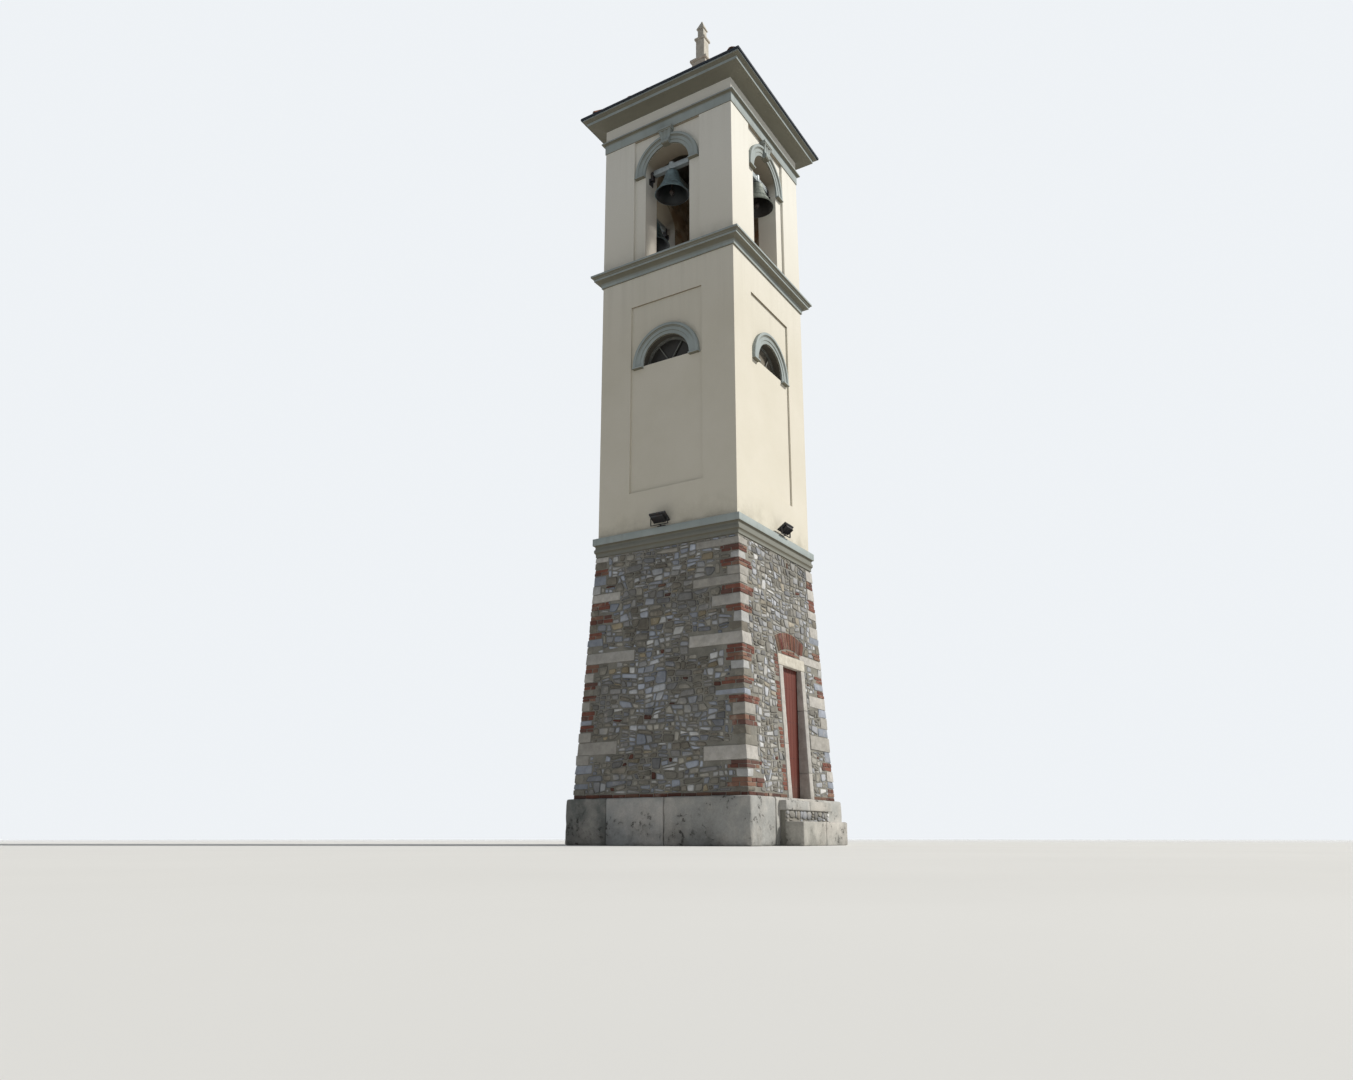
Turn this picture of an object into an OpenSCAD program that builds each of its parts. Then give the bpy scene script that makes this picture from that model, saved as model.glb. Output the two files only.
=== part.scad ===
// Bell tower on a square plan: a battered stone base on a plinth, a plastered shaft with
// half-round windows, and an open belfry with round arches under a wide cornice.
// The origin is in the middle of the plan at ground level. The door looks along -Y, and +Z is up.

/* [Plan] */
// Width of the plastered tower
tower_w = 2800; // [2720:20:2860]
// Thickness of the shaft and belfry walls
upper_wall_t = 430; // [410:10:450]
// Clear width of the room in the base
room_w = 1800; // [1760:20:1840]
// Distance by which the head of the stone base stands out of the plastered wall
base_head_out = 15; // [10:1:25]
// Distance by which the foot of the stone base stands out of the plastered wall
base_foot_out = 230; // [210:5:270]
// Distance by which the plinth stands out of the foot of the stone base
plinth_out = 100; // [80:5:150]
// Overhang of the eaves beyond the plastered wall
eaves_out = 371; // [350:1:390]

/* [Heights] */
// Height of the plinth
plinth_h = 740; // [700:10:800]
// Height of the stone base above the plinth
base_h = 4180; // [4100:20:4300]
// Height of the string course
string_h = 255; // [245:5:275]
// Height of the architrave band
architrave_h = 235; // [225:5:260]
// Height of the plain frieze
frieze_h = 285; // [250:5:320]
// Height of the top cornice
top_cornice_h = 185; // [175:5:200]
// Rise of the roof above the cornice
roof_rise = 1400; // [1200:50:1500]
// Height of the tip of the pinnacle above the cornice
pinnacle_tip_h = 2930; // [2890:10:3040]
// Height of the pinnacle's pedestal
pedestal_h = 500; // [450:10:550]
// Height of the pinnacle's head, from its slab to its tip
pinnacle_head_h = 520; // [480:10:560]
// Height of the cornice at the head of the stone base
base_cornice_h = 350; // [330:5:370]

/* [Floors] */
// Thickness of the ground floor
ground_floor_t = 120; // [100:10:150]
// Thickness of the shaft's floor
shaft_floor_t = 120; // [100:10:150]
// Thickness of the belfry floor
belfry_floor_t = 150; // [120:10:160]
// Depth to which the belfry floor runs into the walls
floor_seat = 130; // [100:10:150]

/* [Doorway] */
// Distance of the doorway's middle from the middle of the wall
door_x = 250; // [200:10:280]
// Clear width of the doorway
door_w = 720; // [700:10:760]
// Clear height of the doorway
door_h = 2190; // [2100:10:2250]
// Width of a stone jamb
jamb_w = 140; // [120:5:150]
// Distance by which jambs and lintel stand out of the wall
jamb_proud = 15; // [5:1:20]
// Height of the lintel
lintel_h = 190; // [180:5:220]
// Depth of the leaf behind the foot of the wall
door_set_back = 190; // [185:5:200]
// Thickness of the door leaf
leaf_t = 50; // [45:1:55]
// Lap of the leaf behind the jambs and the lintel
leaf_lap = 25; // [20:1:30]
// Play between the closed leaf and what it closes against
leaf_play = 6; // [5:1:10]
// Height of the lock above the sill
lock_h = 1050; // [1000:10:1100]
// Height of the brick ring over the lintel
arch_ring = 290; // [260:10:300]
// Rise of the underside of the brick arch
arch_rise = 100; // [80:5:120]
// Depth of the brick arch in the wall
arch_depth = 300; // [250:10:320]

/* [Steps] */
// Middle of the landing along the front
landing_x = 70; // [20:10:100]
// Width of the landing
landing_w = 1740; // [1600:20:1800]
// Distance by which the landing slab stands out of the plinth
landing_out = 130; // [100:10:200]
// Thickness of the landing slab
landing_slab_h = 200; // [180:10:220]
// Height of the lower step
lower_step_h = 370; // [300:10:400]
// Depth of the lower step in front of the landing
lower_step_tread = 280; // [250:10:320]

/* [Panels and windows] */
// Width of the sunk panel in the shaft
panel_w = 1500; // [1460:10:1540]
// Depth of the sunk panel in the shaft
panel_d = 35; // [25:5:40]
// Height of the panel's foot above the stone base
panel_foot = 1085; // [1050:5:1200]
// Height of the panel
panel_h = 3640; // [3600:10:3700]
// Height of plain wall between the panel and the string course
panel_cover = 595; // [550:5:700]
// Radius of the half-round window
lunette_r = 483; // [460:1:500]
// Height of the window's sill above the foot of the panel
lunette_sill = 2410; // [2350:10:2500]
// Thickness of a window frame bar
frame_t = 40; // [35:1:50]
// Depth of the window frame behind the wall's face
frame_set_back = 150; // [120:5:180]
// Slope of the two window bars from the upright
bar_slope = 33; // [25:1:40]
// Width of a moulded arch surround
surround_w = 205; // [190:5:215]
// Distance by which a moulded surround stands out of its ground
surround_out = 70; // [60:5:80]
// Drop of a moulded surround's ends below the middle of its arc
surround_drop = 45; // [30:5:60]

/* [Belfry] */
// Width of the sunk field between the corner pilasters
field_w = 1440; // [1420:10:1480]
// Depth of the sunk field between the corner pilasters
field_d = 45; // [35:5:50]
// Half the width of the belfry opening
opening_r = 483; // [470:1:500]
// Height of the arch's springing above the string course
spring_h = 1905; // [1890:5:1950]
// Height of plain wall between the belfry's moulded surround and the architrave
arch_cover = 117; // [100:1:160]
// Width of a keystone at its foot
key_foot_w = 145; // [130:5:160]
// Width of a keystone at its head
key_head_w = 290; // [260:10:300]
// Distance by which a keystone stands out of its ground
key_out = 125; // [110:5:140]

/* [Bells] */
// Radius of the bell's lip
lip_r = 330; // [300:5:340]
// Radius of the bell's shoulder
shoulder_r = 130; // [125:1:140]
// Height of the bell from lip to shoulder
bell_h = 470; // [450:5:480]
// Distance from the yoke's axis down to the lip
lip_drop = 602; // [590:1:620]
// Height of the yoke's axis above the springing
yoke_up = 100; // [80:5:110]
// Length of the yoke beam
yoke_l = 780; // [740:10:800]
// Height of the yoke beam
yoke_h = 110; // [100:5:120]
// Thickness of the yoke beam
yoke_t = 90; // [80:5:100]
// Radius of the yoke's pins
gudgeon_r = 22; // [20:1:25]
// Radius of the clapper's ball
ball_r = 48; // [40:1:52]

/* [Clearances] */
// Gap round a pin that turns
pin_gap = 0.3; // [0.2:0.05:0.5]

/* [Hidden] */

$fn = 96;
// Longer than anything in the tower
far = 40000;
// Overshoot of a cut beyond the face that it goes through
cut = 5;

half_w = tower_w / 2;
inner_half = half_w - upper_wall_t;
room_half = room_w / 2;
head_half = half_w + base_head_out;
foot_half = half_w + base_foot_out;
plinth_half = foot_half + plinth_out;

// Levels of the storeys
shaft_h = panel_foot + panel_h + panel_cover;
belfry_h = spring_h + opening_r + surround_w + arch_cover;
base_top = plinth_h + base_h;
string_z = base_top + shaft_h;
belfry_base = string_z + 160;
sill_z = string_z + string_h;
architrave_z = sill_z + belfry_h;
frieze_z = architrave_z + architrave_h;
cornice_z = frieze_z + frieze_h;
eaves_z = cornice_z + top_cornice_h;

// Doorway
gap_half = door_w / 2 + jamb_w;
leaf_front = -foot_half + door_set_back;
jamb_back = leaf_front - leaf_play;
lintel_z = plinth_h + door_h;
head_z = lintel_z + 70;
arch_half = gap_half - 30;
arch_r = (pow(arch_half, 2) + pow(arch_rise, 2)) / (2 * arch_rise);
arch_slope = asin(arch_half / arch_r);
arch_bed = 20;
arch_z = lintel_z + lintel_h + arch_bed + arch_rise - arch_r;
leaf_left = door_x - door_w / 2 - leaf_lap;
leaf_right = door_x + door_w / 2 + leaf_lap;
leaf_back = leaf_front + leaf_t;

// Door hinges
knuckle_r = 12;
pintle_r = 7;
knuckle_h = 90;
strap_t = 6;
hinge_x = leaf_right + knuckle_r;
hinge_y = leaf_back + knuckle_r;
hinge_low = plinth_h + 330;
hinge_high = lintel_z - 420;

// Panels, windows and arches
panel_z = base_top + panel_foot;
lunette_z = panel_z + lunette_sill;
lunette_ground = half_w - panel_d;
field_ground = half_w - field_d;
spring_z = sill_z + spring_h;
key_z = spring_z + opening_r - 8;

// Bells
yoke_z = spring_z + yoke_up;
yoke_out = half_w - upper_wall_t / 2;
lip_z = yoke_z - lip_drop;
shoulder_z = lip_z + bell_h;
bell_wall = 34;
crown_t = 36;
clapper_z = shoulder_z - crown_t - 34;
clapper_pin_r = 9;

// Roof and pinnacle
eaves_half = half_w + eaves_out;
roof_edge = 40;
roof_t = 150;
roof_top = eaves_z + roof_edge + roof_rise;
roof_slope = roof_rise / eaves_half;
loft_half = eaves_half - (roof_t - roof_edge) / roof_slope;
pinnacle_half = 210;
pinnacle_z = roof_top - pinnacle_half * roof_slope;
pinnacle_tip = eaves_z + pinnacle_tip_h;

plaster = [0.87, 0.83, 0.72];
trim = [0.55, 0.58, 0.58];
pale_stone = [0.74, 0.71, 0.64];
rubble = [0.55, 0.53, 0.48];
brick = [0.62, 0.33, 0.24];
iron = [0.12, 0.12, 0.13];
steel = [0.62, 0.64, 0.65];
bronze = [0.30, 0.36, 0.36];
planks = [0.30, 0.13, 0.09];
dark_glass = [0.10, 0.12, 0.13, 0.6];

// Half the width of the battered base at height z
function batter(z) = foot_half + (head_half - foot_half) * (z - plinth_h) / base_h;

// Radius of the bell at a share t of its height, from the lip up to the shoulder
function flare(t) = shoulder_r + (lip_r - shoulder_r) * pow(1 - t, 1.6);

// Solid with a square plan whose width at each height is that of the child, a flat upright section
module square_turned() {
  intersection() {
    rotate([90, 0, 0])
      linear_extrude(far, center = true)
        children();
    rotate([90, 0, 90])
      linear_extrude(far, center = true)
        children();
  }
}

// The children and their mirror image across the upright axis
module both_sides() {
  children();
  mirror([1, 0, 0])
    children();
}

// Square block of a given half-width between two heights
module block(half, low, high) {
  translate([-half, -half, low])
    cube([2 * half, 2 * half, high - low]);
}

// The children on the front, drawn with -Y outward, and again on the other sides
module four_sides() {
  for (turn = [0 : 3])
    rotate(90 * turn)
      children();
}

// Moulding round the tower between two levels, hollow up to a given half-width: the child is its
// section beside the wall's face, with x outward
module moulding(low, high, inside) {
  difference() {
    square_turned() {
      translate([-half_w, low])
        square([2 * half_w, high - low]);
      both_sides()
        translate([half_w, 0])
          children();
    }
    block(inside, low - cut, high + cut);
  }
}

// Places a flat shape, drawn with its y upward, on the front between two distances from the axis
module on_front(near, out, z) {
  translate([0, -near, z])
    rotate([90, 0, 0])
      linear_extrude(out - near)
        children();
}

// Half disc standing on its diameter
module half_disc(r) {
  intersection() {
    circle(r);
    translate([-r, 0])
      square([2 * r, r]);
  }
}

// Section of a moulding between the wall's face and distance out, over a stretch of height
module band(out, low, high) {
  translate([-cut, low])
    square([out + cut, high - low]);
}

// Section that hollows outward from one point up to another along an arc of radius r
module hollow(out_low, low, out_high, high, r) {
  chord = norm([out_high - out_low, high - low]);
  reach = sqrt(pow(r, 2) - pow(chord / 2, 2)) / chord;
  difference() {
    polygon([[-cut, low], [out_low, low], [out_high, high], [-cut, high]]);
    translate([(out_low + out_high) / 2 + (high - low) * reach, (low + high) / 2 - (out_high - out_low) * reach])
      circle(r);
  }
}

// Slab of an upper wall on the front, between two levels
module upper_wall(low, high, half) {
  translate([-half, -half_w, low])
    cube([2 * half, upper_wall_t, high - low]);
}

// Plinth of large blocks with a rounded upper edge and a ledge for the ground floor
module plinth() {
  edge = 45;
  rounding = [for (a = [0 : 15 : 90]) [plinth_half - edge + edge * cos(a), plinth_h - edge + edge * sin(a)]];
  mirrored = [for (i = [len(rounding) - 1 : -1 : 0]) [-rounding[i][0], rounding[i][1]]];
  color(pale_stone)
    difference() {
      square_turned()
        polygon(concat([[-plinth_half, 0], [plinth_half, 0]], rounding, mirrored));
      block(room_half - 120, -cut, plinth_h + cut);
      block(room_half, plinth_h - ground_floor_t, plinth_h + cut);
    }
}

module ground_floor() {
  color(brick)
    block(room_half, plinth_h - ground_floor_t, plinth_h);
}

// Slab in front of the door, level with the plinth
module landing_slab() {
  color(pale_stone)
    translate([landing_x - landing_w / 2, -plinth_half - landing_out, plinth_h - landing_slab_h])
      cube([landing_w, landing_out, landing_slab_h - 45]);
}

// Rubble under the landing, a little behind its edge
module landing_base() {
  inset = 40;
  color(rubble)
    translate([landing_x - landing_w / 2 + inset, -plinth_half - landing_out + inset, 0])
      cube([landing_w - 2 * inset, landing_out - inset, plinth_h - landing_slab_h]);
}

module lower_step() {
  inset = 40;
  color(pale_stone)
    translate([landing_x - landing_w / 2, -plinth_half - landing_out - lower_step_tread, 0])
      cube([landing_w, lower_step_tread + inset, lower_step_h]);
}

// Whole battered base as one solid
module base_mass() {
  square_turned()
    polygon([[-foot_half, plinth_h], [foot_half, plinth_h], [head_half, base_top], [-head_half, base_top]]);
}

// Part of the base in front of the room, over a stretch of its width and height
module base_front(left, right, low, high) {
  intersection() {
    base_mass();
    translate([left, -far / 2, low])
      cube([right - left, far / 2 - room_half, high - low]);
  }
}

// Face of the battered wall moved outward, in front of distance near from the axis
module battered_slab(left, right, low, high, near, proud) {
  translate([left, 0, 0])
    rotate([90, 0, 90])
      linear_extrude(right - left)
        polygon([[-near, low], [-batter(low) - proud, low], [-batter(high) - proud, high], [-near, high]]);
}

// Ring of bricks over the lintel, from the wall's face inward
module arch_body(proud) {
  intersection() {
    translate([door_x, 0, arch_z])
      rotate([90, 0, 0])
        linear_extrude(foot_half + proud)
          intersection() {
            difference() {
              circle(arch_r + arch_ring, $fn = 360);
              circle(arch_r, $fn = 360);
            }
            polygon([[0, 0], 2 * arch_r * [sin(arch_slope), cos(arch_slope)], 2 * arch_r * [-sin(arch_slope), cos(arch_slope)]]);
          }
    battered_slab(-far / 2, far / 2, plinth_h, base_top, batter(lintel_z) - arch_depth, proud);
  }
}

module base_wall_front_left() {
  color(rubble)
    difference() {
      base_front(-far / 2, door_x - gap_half, plinth_h, base_top);
      arch_body(0);
    }
}

module base_wall_front_right() {
  color(rubble)
    difference() {
      base_front(door_x + gap_half, far / 2, plinth_h, base_top);
      arch_body(0);
    }
}

module base_wall_over_door() {
  color(rubble)
    difference() {
      base_front(door_x - gap_half, door_x + gap_half, head_z, base_top);
      translate([-far / 2, -far, 0])
        cube([far, far + jamb_back, lintel_z + lintel_h]);
      arch_body(0);
    }
}

module base_wall_side() {
  color(rubble)
    intersection() {
      base_mass();
      translate([-room_half, -far / 2, plinth_h])
        cube([2 * room_half, far / 2 - room_half, base_h]);
    }
}

module base_wall_left() {
  rotate(-90)
    base_wall_side();
}

module base_wall_right() {
  rotate(90)
    base_wall_side();
}

module base_wall_back() {
  color(rubble)
    rotate(180)
      base_front(-far / 2, far / 2, plinth_h, base_top);
}

module door_jambs() {
  color(pale_stone)
    for (left = [door_x - gap_half, door_x + door_w / 2])
      battered_slab(left, left + jamb_w, plinth_h, lintel_z, -jamb_back, jamb_proud);
}

module door_lintel() {
  color(pale_stone)
    battered_slab(door_x - gap_half, door_x + gap_half, lintel_z, lintel_z + lintel_h, -jamb_back, jamb_proud);
}

module door_arch() {
  color(brick)
    arch_body(0);
}

// Painted cornice at the head of the stone base
module base_cornice() {
  z = base_top;
  color(trim)
    moulding(z, z + base_cornice_h, half_w) {
      band(15, z, z + 90);
      hollow(15, z + 20, 50, z + 90, 60);
      band(50, z + 90, z + 180);
      band(32, z + 180, z + 215);
      band(75, z + 215, z + base_cornice_h);
    }
}

// Floor of the shaft, resting on the inner edge of the stone base
module shaft_floor() {
  color(brick)
    block(inner_half, base_top, base_top + shaft_floor_t);
}

// Wall of the shaft on the front, with its sunk panel and its window opening
module shaft_wall(half) {
  color(plaster)
    difference() {
      upper_wall(base_top, belfry_base, half);
      on_front(lunette_ground, half_w + cut, panel_z)
        translate([-panel_w / 2, 0])
          square([panel_w, panel_h]);
      on_front(inner_half - cut, half_w + cut, lunette_z)
        half_disc(lunette_r);
      block(inner_half + floor_seat, belfry_base - belfry_floor_t, belfry_base + cut);
    }
}

module shaft_wall_front() {
  shaft_wall(half_w);
}

module shaft_wall_left() {
  rotate(-90)
    shaft_wall(inner_half);
}

module shaft_wall_right() {
  rotate(90)
    shaft_wall(inner_half);
}

module shaft_wall_back() {
  rotate(180)
    shaft_wall(half_w);
}

// Section of a moulded surround: two flat bands and a raised outer edge
module surround_section() {
  square([surround_w, surround_out * 0.5]);
  translate([surround_w * 0.42, 0])
    square([surround_w * 0.58, surround_out * 0.75]);
  translate([surround_w * 0.74, 0])
    square([surround_w * 0.26, surround_out]);
}

// Moulded surround of a half-round arch on the front, lying on a ground plane
module surround(r, ground, z) {
  translate([0, -ground, z]) {
    rotate([90, 0, 0])
      rotate_extrude(angle = 180)
        translate([r, 0])
          surround_section();
    translate([0, 0, -surround_drop])
      linear_extrude(surround_drop)
        both_sides()
          translate([r, 0])
            mirror([0, 1])
              surround_section();
  }
}

module lunette_surrounds() {
  color(trim)
    four_sides()
      surround(lunette_r, lunette_ground, lunette_z);
}

// Half-round window frames, each with two bars in a V
module lunette_frames() {
  color(iron)
    four_sides()
      on_front(half_w - frame_set_back - frame_t, half_w - frame_set_back, lunette_z)
        intersection() {
          half_disc(lunette_r);
          union() {
            difference() {
              circle(lunette_r);
              circle(lunette_r - frame_t);
            }
            translate([-lunette_r, 0])
              square([2 * lunette_r, frame_t]);
            for (side = [-1, 1])
              rotate(side * bar_slope)
                translate([-frame_t / 4, 0])
                  square([frame_t / 2, lunette_r]);
          }
        }
}

module lunette_glass() {
  color(dark_glass)
    four_sides()
      on_front(half_w - frame_set_back - frame_t - 8, half_w - frame_set_back - frame_t, lunette_z)
        half_disc(lunette_r);
}

module string_course() {
  z = string_z;
  color(trim)
    moulding(z, sill_z, half_w) {
      band(28, z, z + 130);
      hollow(28, z + 50, 118, z + 130, 105);
      band(130, z + 130, z + 170);
      polygon([[-cut, z + 170], [130, z + 170], [180, z + 205], [180, sill_z - 10], [0, sill_z], [-cut, sill_z]]);
    }
}

module belfry_floor() {
  color(brick)
    block(inner_half + floor_seat, belfry_base - belfry_floor_t, belfry_base);
}

// Wall of the belfry on the front, with a sunk field between its pilasters and an arched opening
module belfry_wall(half) {
  color(plaster)
    difference() {
      upper_wall(belfry_base, architrave_z, half);
      on_front(field_ground, half_w + cut, sill_z)
        translate([-field_w / 2, 0])
          square([field_w, belfry_h + cut]);
      on_front(inner_half - cut, half_w + cut, spring_z)
        half_disc(opening_r);
      on_front(inner_half - cut, half_w + cut, sill_z)
        translate([-opening_r, 0])
          square([2 * opening_r, spring_h]);
    }
}

module belfry_wall_front() {
  belfry_wall(half_w);
}

module belfry_wall_left() {
  rotate(-90)
    belfry_wall(inner_half);
}

module belfry_wall_right() {
  rotate(90)
    belfry_wall(inner_half);
}

module belfry_wall_back() {
  rotate(180)
    belfry_wall(half_w);
}

// Shaft of a keystone, wider at its head
module key_body(out) {
  on_front(field_ground, field_ground + out, key_z)
    polygon([[-key_foot_w / 2, 0], [key_foot_w / 2, 0], [key_head_w / 2, architrave_z - key_z],
      [-key_head_w / 2, architrave_z - key_z]]);
}

module belfry_archivolts() {
  color(trim)
    four_sides()
      difference() {
        surround(opening_r, field_ground, spring_z);
        key_body(key_out);
      }
}

module keystones() {
  cap_h = 70;
  color(trim)
    four_sides() {
      key_body(key_out - 25);
      on_front(field_ground, field_ground + key_out, architrave_z - cap_h)
        translate([-key_head_w / 2, 0])
          square([key_head_w, cap_h]);
    }
}

module architrave() {
  z = architrave_z;
  color(trim)
    moulding(z, frieze_z, half_w) {
      band(15, z, z + 165);
      hollow(15, z + 165, 55, frieze_z - 28, 50);
      band(70, frieze_z - 28, frieze_z);
    }
}

// Plain wall behind the architrave and up to the cornice
module frieze() {
  color(plaster)
    difference() {
      block(half_w, architrave_z, cornice_z);
      block(inner_half, architrave_z - cut, cornice_z + cut);
    }
}

// Cornice with a wide shallow hollow, a fillet and a second hollow under the eaves
module top_cornice() {
  z = cornice_z;
  color(trim)
    moulding(z, eaves_z, inner_half) {
      hollow(12, z, 270, z + 62, 400);
      band(276, z + 62, z + 122);
      hollow(282, z + 122, 338, z + 150, 90);
      band(345, z + 150, eaves_z);
    }
}

// Low hollow roof, cut flat at its head to seat the pinnacle
module roof() {
  color([0.63, 0.38, 0.28])
    difference() {
      square_turned()
        polygon([[-eaves_half, eaves_z], [eaves_half, eaves_z], [eaves_half, eaves_z + roof_edge],
          [0, roof_top], [-eaves_half, eaves_z + roof_edge]]);
      square_turned()
        polygon([[-loft_half, eaves_z - cut], [loft_half, eaves_z - cut], [loft_half, eaves_z],
          [0, eaves_z + loft_half * roof_slope], [-loft_half, eaves_z]]);
      block(far / 4, pinnacle_z, far);
    }
}

module pinnacle() {
  z = pinnacle_z;
  tip = pinnacle_tip;
  head_z = tip - pinnacle_head_h;
  cap_z = tip - 240;
  lap = 10;
  color(pale_stone) {
    block(225, z, z + 60);
    block(160, z + 60 - lap, z + 60 + pedestal_h + lap);
    block(195, z + 60 + pedestal_h, z + 120 + pedestal_h);
    block(100, z + 120 + pedestal_h - lap, head_z + lap);
    block(125, head_z, head_z + 50);
    block(70, head_z + 50 - lap, cap_z + lap);
    square_turned()
      polygon([[-90, cap_z], [90, cap_z], [90, cap_z + 15], [0, tip], [-90, cap_z + 15]]);
  }
}

// Floodlight on the front: a foot plate, a bracket with two arms and a lamp body tilted back
module floodlight(w, h, d, out) {
  plate_d = 36;
  plate_t = 10;
  lamp_z = h * 0.6 + 20;
  translate([-w / 4, -plate_d / 2, 0])
    cube([w / 2, plate_d, plate_t]);
  translate([-12, -out - 12, plate_t - 1])
    cube([24, out + 24, 8]);
  translate([-w / 2 - 14, -out - 12, plate_t])
    cube([w + 28, 24, 8]);
  for (side = [-1, 1])
    translate([side * (w / 2 + 10) - 5, -out - 12, plate_t])
      cube([10, 24, lamp_z]);
  translate([0, -out, lamp_z])
    rotate([55, 0, 0]) {
      translate([-w / 2 - 6, -d * 0.1, -h / 2])
        cube([w + 12, d * 0.3, h]);
      translate([-w * 0.38, -d * 0.7, -h * 0.38])
        cube([w * 0.76, d * 0.7, h * 0.76]);
    }
}

module floodlights() {
  lamp_z = base_top + base_cornice_h;
  color(iron) {
    rotate(-90)
      translate([-40, -half_w - 50, lamp_z])
        floodlight(320, 200, 100, 70);
    translate([180, -half_w - 50, lamp_z])
      floodlight(320, 200, 100, 70);
    translate([225, -field_ground + 100, sill_z])
      floodlight(130, 90, 60, 20);
  }
}

// Two bearings on the jambs of the front opening, bored for the yoke's pins
module bearing_pair() {
  housing_w = 44;
  for (side = [-1, 1])
    scale([side, 1, 1])
      difference() {
        translate([opening_r - 75, -yoke_out, 0]) {
          translate([0, -42, spring_z])
            cube([housing_w, 84, yoke_up + 40]);
          translate([0, -42, spring_z - 40])
            cube([75, 84, 40]);
          translate([55, -60, spring_z - 120])
            cube([20, 120, 120]);
        }
        translate([0, -yoke_out, yoke_z])
          rotate([0, 90, 0])
            cylinder(h = opening_r, r = gudgeon_r + pin_gap);
      }
}

module bell_bearings() {
  color(iron) {
    bearing_pair();
    rotate(-90)
      bearing_pair();
    rotate(180)
      bearing_pair();
  }
}

// Iron arms on the reveal, each with an upright pin that carries a hinge of the door
module door_pintles() {
  arm_h = 14;
  color(iron)
    for (z = [hinge_low, hinge_high]) {
      translate([hinge_x - 10, hinge_y - 10, z - arm_h - 2])
        cube([door_x + gap_half - hinge_x + 10, 20, arm_h]);
      translate([hinge_x, hinge_y, z - 6])
        cylinder(h = knuckle_h - 4, r = pintle_r);
    }
}

module door_leaf() {
  color(planks)
    translate([leaf_left, leaf_front, plinth_h + leaf_play])
      cube([leaf_right - leaf_left, leaf_t, door_h + leaf_lap - leaf_play]);
}

// Strap hinges and lock case on the inner face of the leaf, and the lock plate and ring outside
module door_hardware() {
  strap_l = leaf_right - leaf_left - 90;
  lock_z = plinth_h + lock_h;
  color(iron) {
    for (z = [hinge_low, hinge_high])
      difference() {
        union() {
          translate([hinge_x - strap_l, leaf_back, z + 20])
            cube([strap_l, strap_t, knuckle_h - 40]);
          translate([hinge_x, hinge_y, z])
            cylinder(h = knuckle_h, r = knuckle_r);
        }
        translate([hinge_x, hinge_y, z - cut])
          cylinder(h = knuckle_h + 2 * cut, r = pintle_r + pin_gap);
      }
    translate([leaf_left + 40, leaf_back, lock_z])
      cube([150, 35, 110]);
    translate([leaf_left + 45, leaf_front - 3, lock_z - 30])
      cube([60, 3, 180]);
    translate([leaf_left + 75, leaf_front - 3, lock_z + 90])
      rotate([90, 0, 0])
        cylinder(h = 22, r = 9);
  }
}

// Bell with its crown and the staple that holds the clapper, hung on the front
module bell() {
  steps = 14;
  shares = [for (i = [0 : steps]) i / steps];
  waist = [for (t = shares) [flare(t), t * bell_h]];
  bore_h = bell_h - crown_t;
  bore = [for (t = shares) if (t * bell_h < bore_h - 60) [flare(t) - bell_wall, t * bell_h]];
  color(bronze)
    translate([0, -yoke_out, lip_z]) {
      rotate_extrude()
        difference() {
          polygon(concat([[0, 0]], waist, [[shoulder_r - 28, bell_h + 24], [60, bell_h + 40], [0, bell_h + 40]]));
          polygon(concat([[0, -cut], [lip_r - bell_wall, -cut]], bore,
            [[shoulder_r - bell_wall - 26, bore_h], [0, bore_h]]));
        }
      translate([0, 0, bell_h + 30])
        cylinder(h = lip_drop - yoke_h / 2 - bell_h - 30, r = 52);
      for (side = [-1, 1])
        translate([side * 22 - 6, -25, clapper_z - lip_z - 18])
          cube([12, 50, bore_h - clapper_z + lip_z + 18]);
      translate([-28, 0, clapper_z - lip_z])
        rotate([0, 90, 0])
          cylinder(h = 56, r = clapper_pin_r);
    }
}

// Steel beam over the bell, with a hub in the middle and a pin at each end
module yoke() {
  color(steel)
    translate([0, -yoke_out, yoke_z]) {
      translate([-yoke_l / 2, -yoke_t / 2, -yoke_h / 2])
        cube([yoke_l, yoke_t, yoke_h]);
      translate([0, 0, -yoke_h / 2])
        cylinder(h = yoke_h + 45, r = 66);
      translate([-opening_r + 30, 0, 0])
        rotate([0, 90, 0])
          cylinder(h = 2 * opening_r - 60, r = gudgeon_r);
    }
}

// Clapper on the pin inside the bell, hanging straight down
module clapper() {
  ball_z = lip_z + 60;
  color(iron)
    translate([0, -yoke_out, 0]) {
      difference() {
        union() {
          translate([-14, 0, clapper_z])
            rotate([0, 90, 0])
              cylinder(h = 28, r = 24);
          translate([0, 0, ball_z])
            cylinder(h = clapper_z - ball_z - 15, r = 13);
        }
        translate([-30, 0, clapper_z])
          rotate([0, 90, 0])
            cylinder(h = 60, r = clapper_pin_r + pin_gap);
      }
      translate([0, 0, ball_z])
        sphere(ball_r);
      translate([0, 0, lip_z - 25])
        cylinder(h = ball_z - lip_z, r = 17);
    }
}

module front_bell() {
  bell();
}

module front_yoke() {
  yoke();
}

module front_clapper() {
  clapper();
}

module left_bell() {
  rotate(-90)
    bell();
}

module left_yoke() {
  rotate(-90)
    yoke();
}

module left_clapper() {
  rotate(-90)
    clapper();
}

module back_bell() {
  rotate(180)
    bell();
}

module back_yoke() {
  rotate(180)
    yoke();
}

module back_clapper() {
  rotate(180)
    clapper();
}

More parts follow.
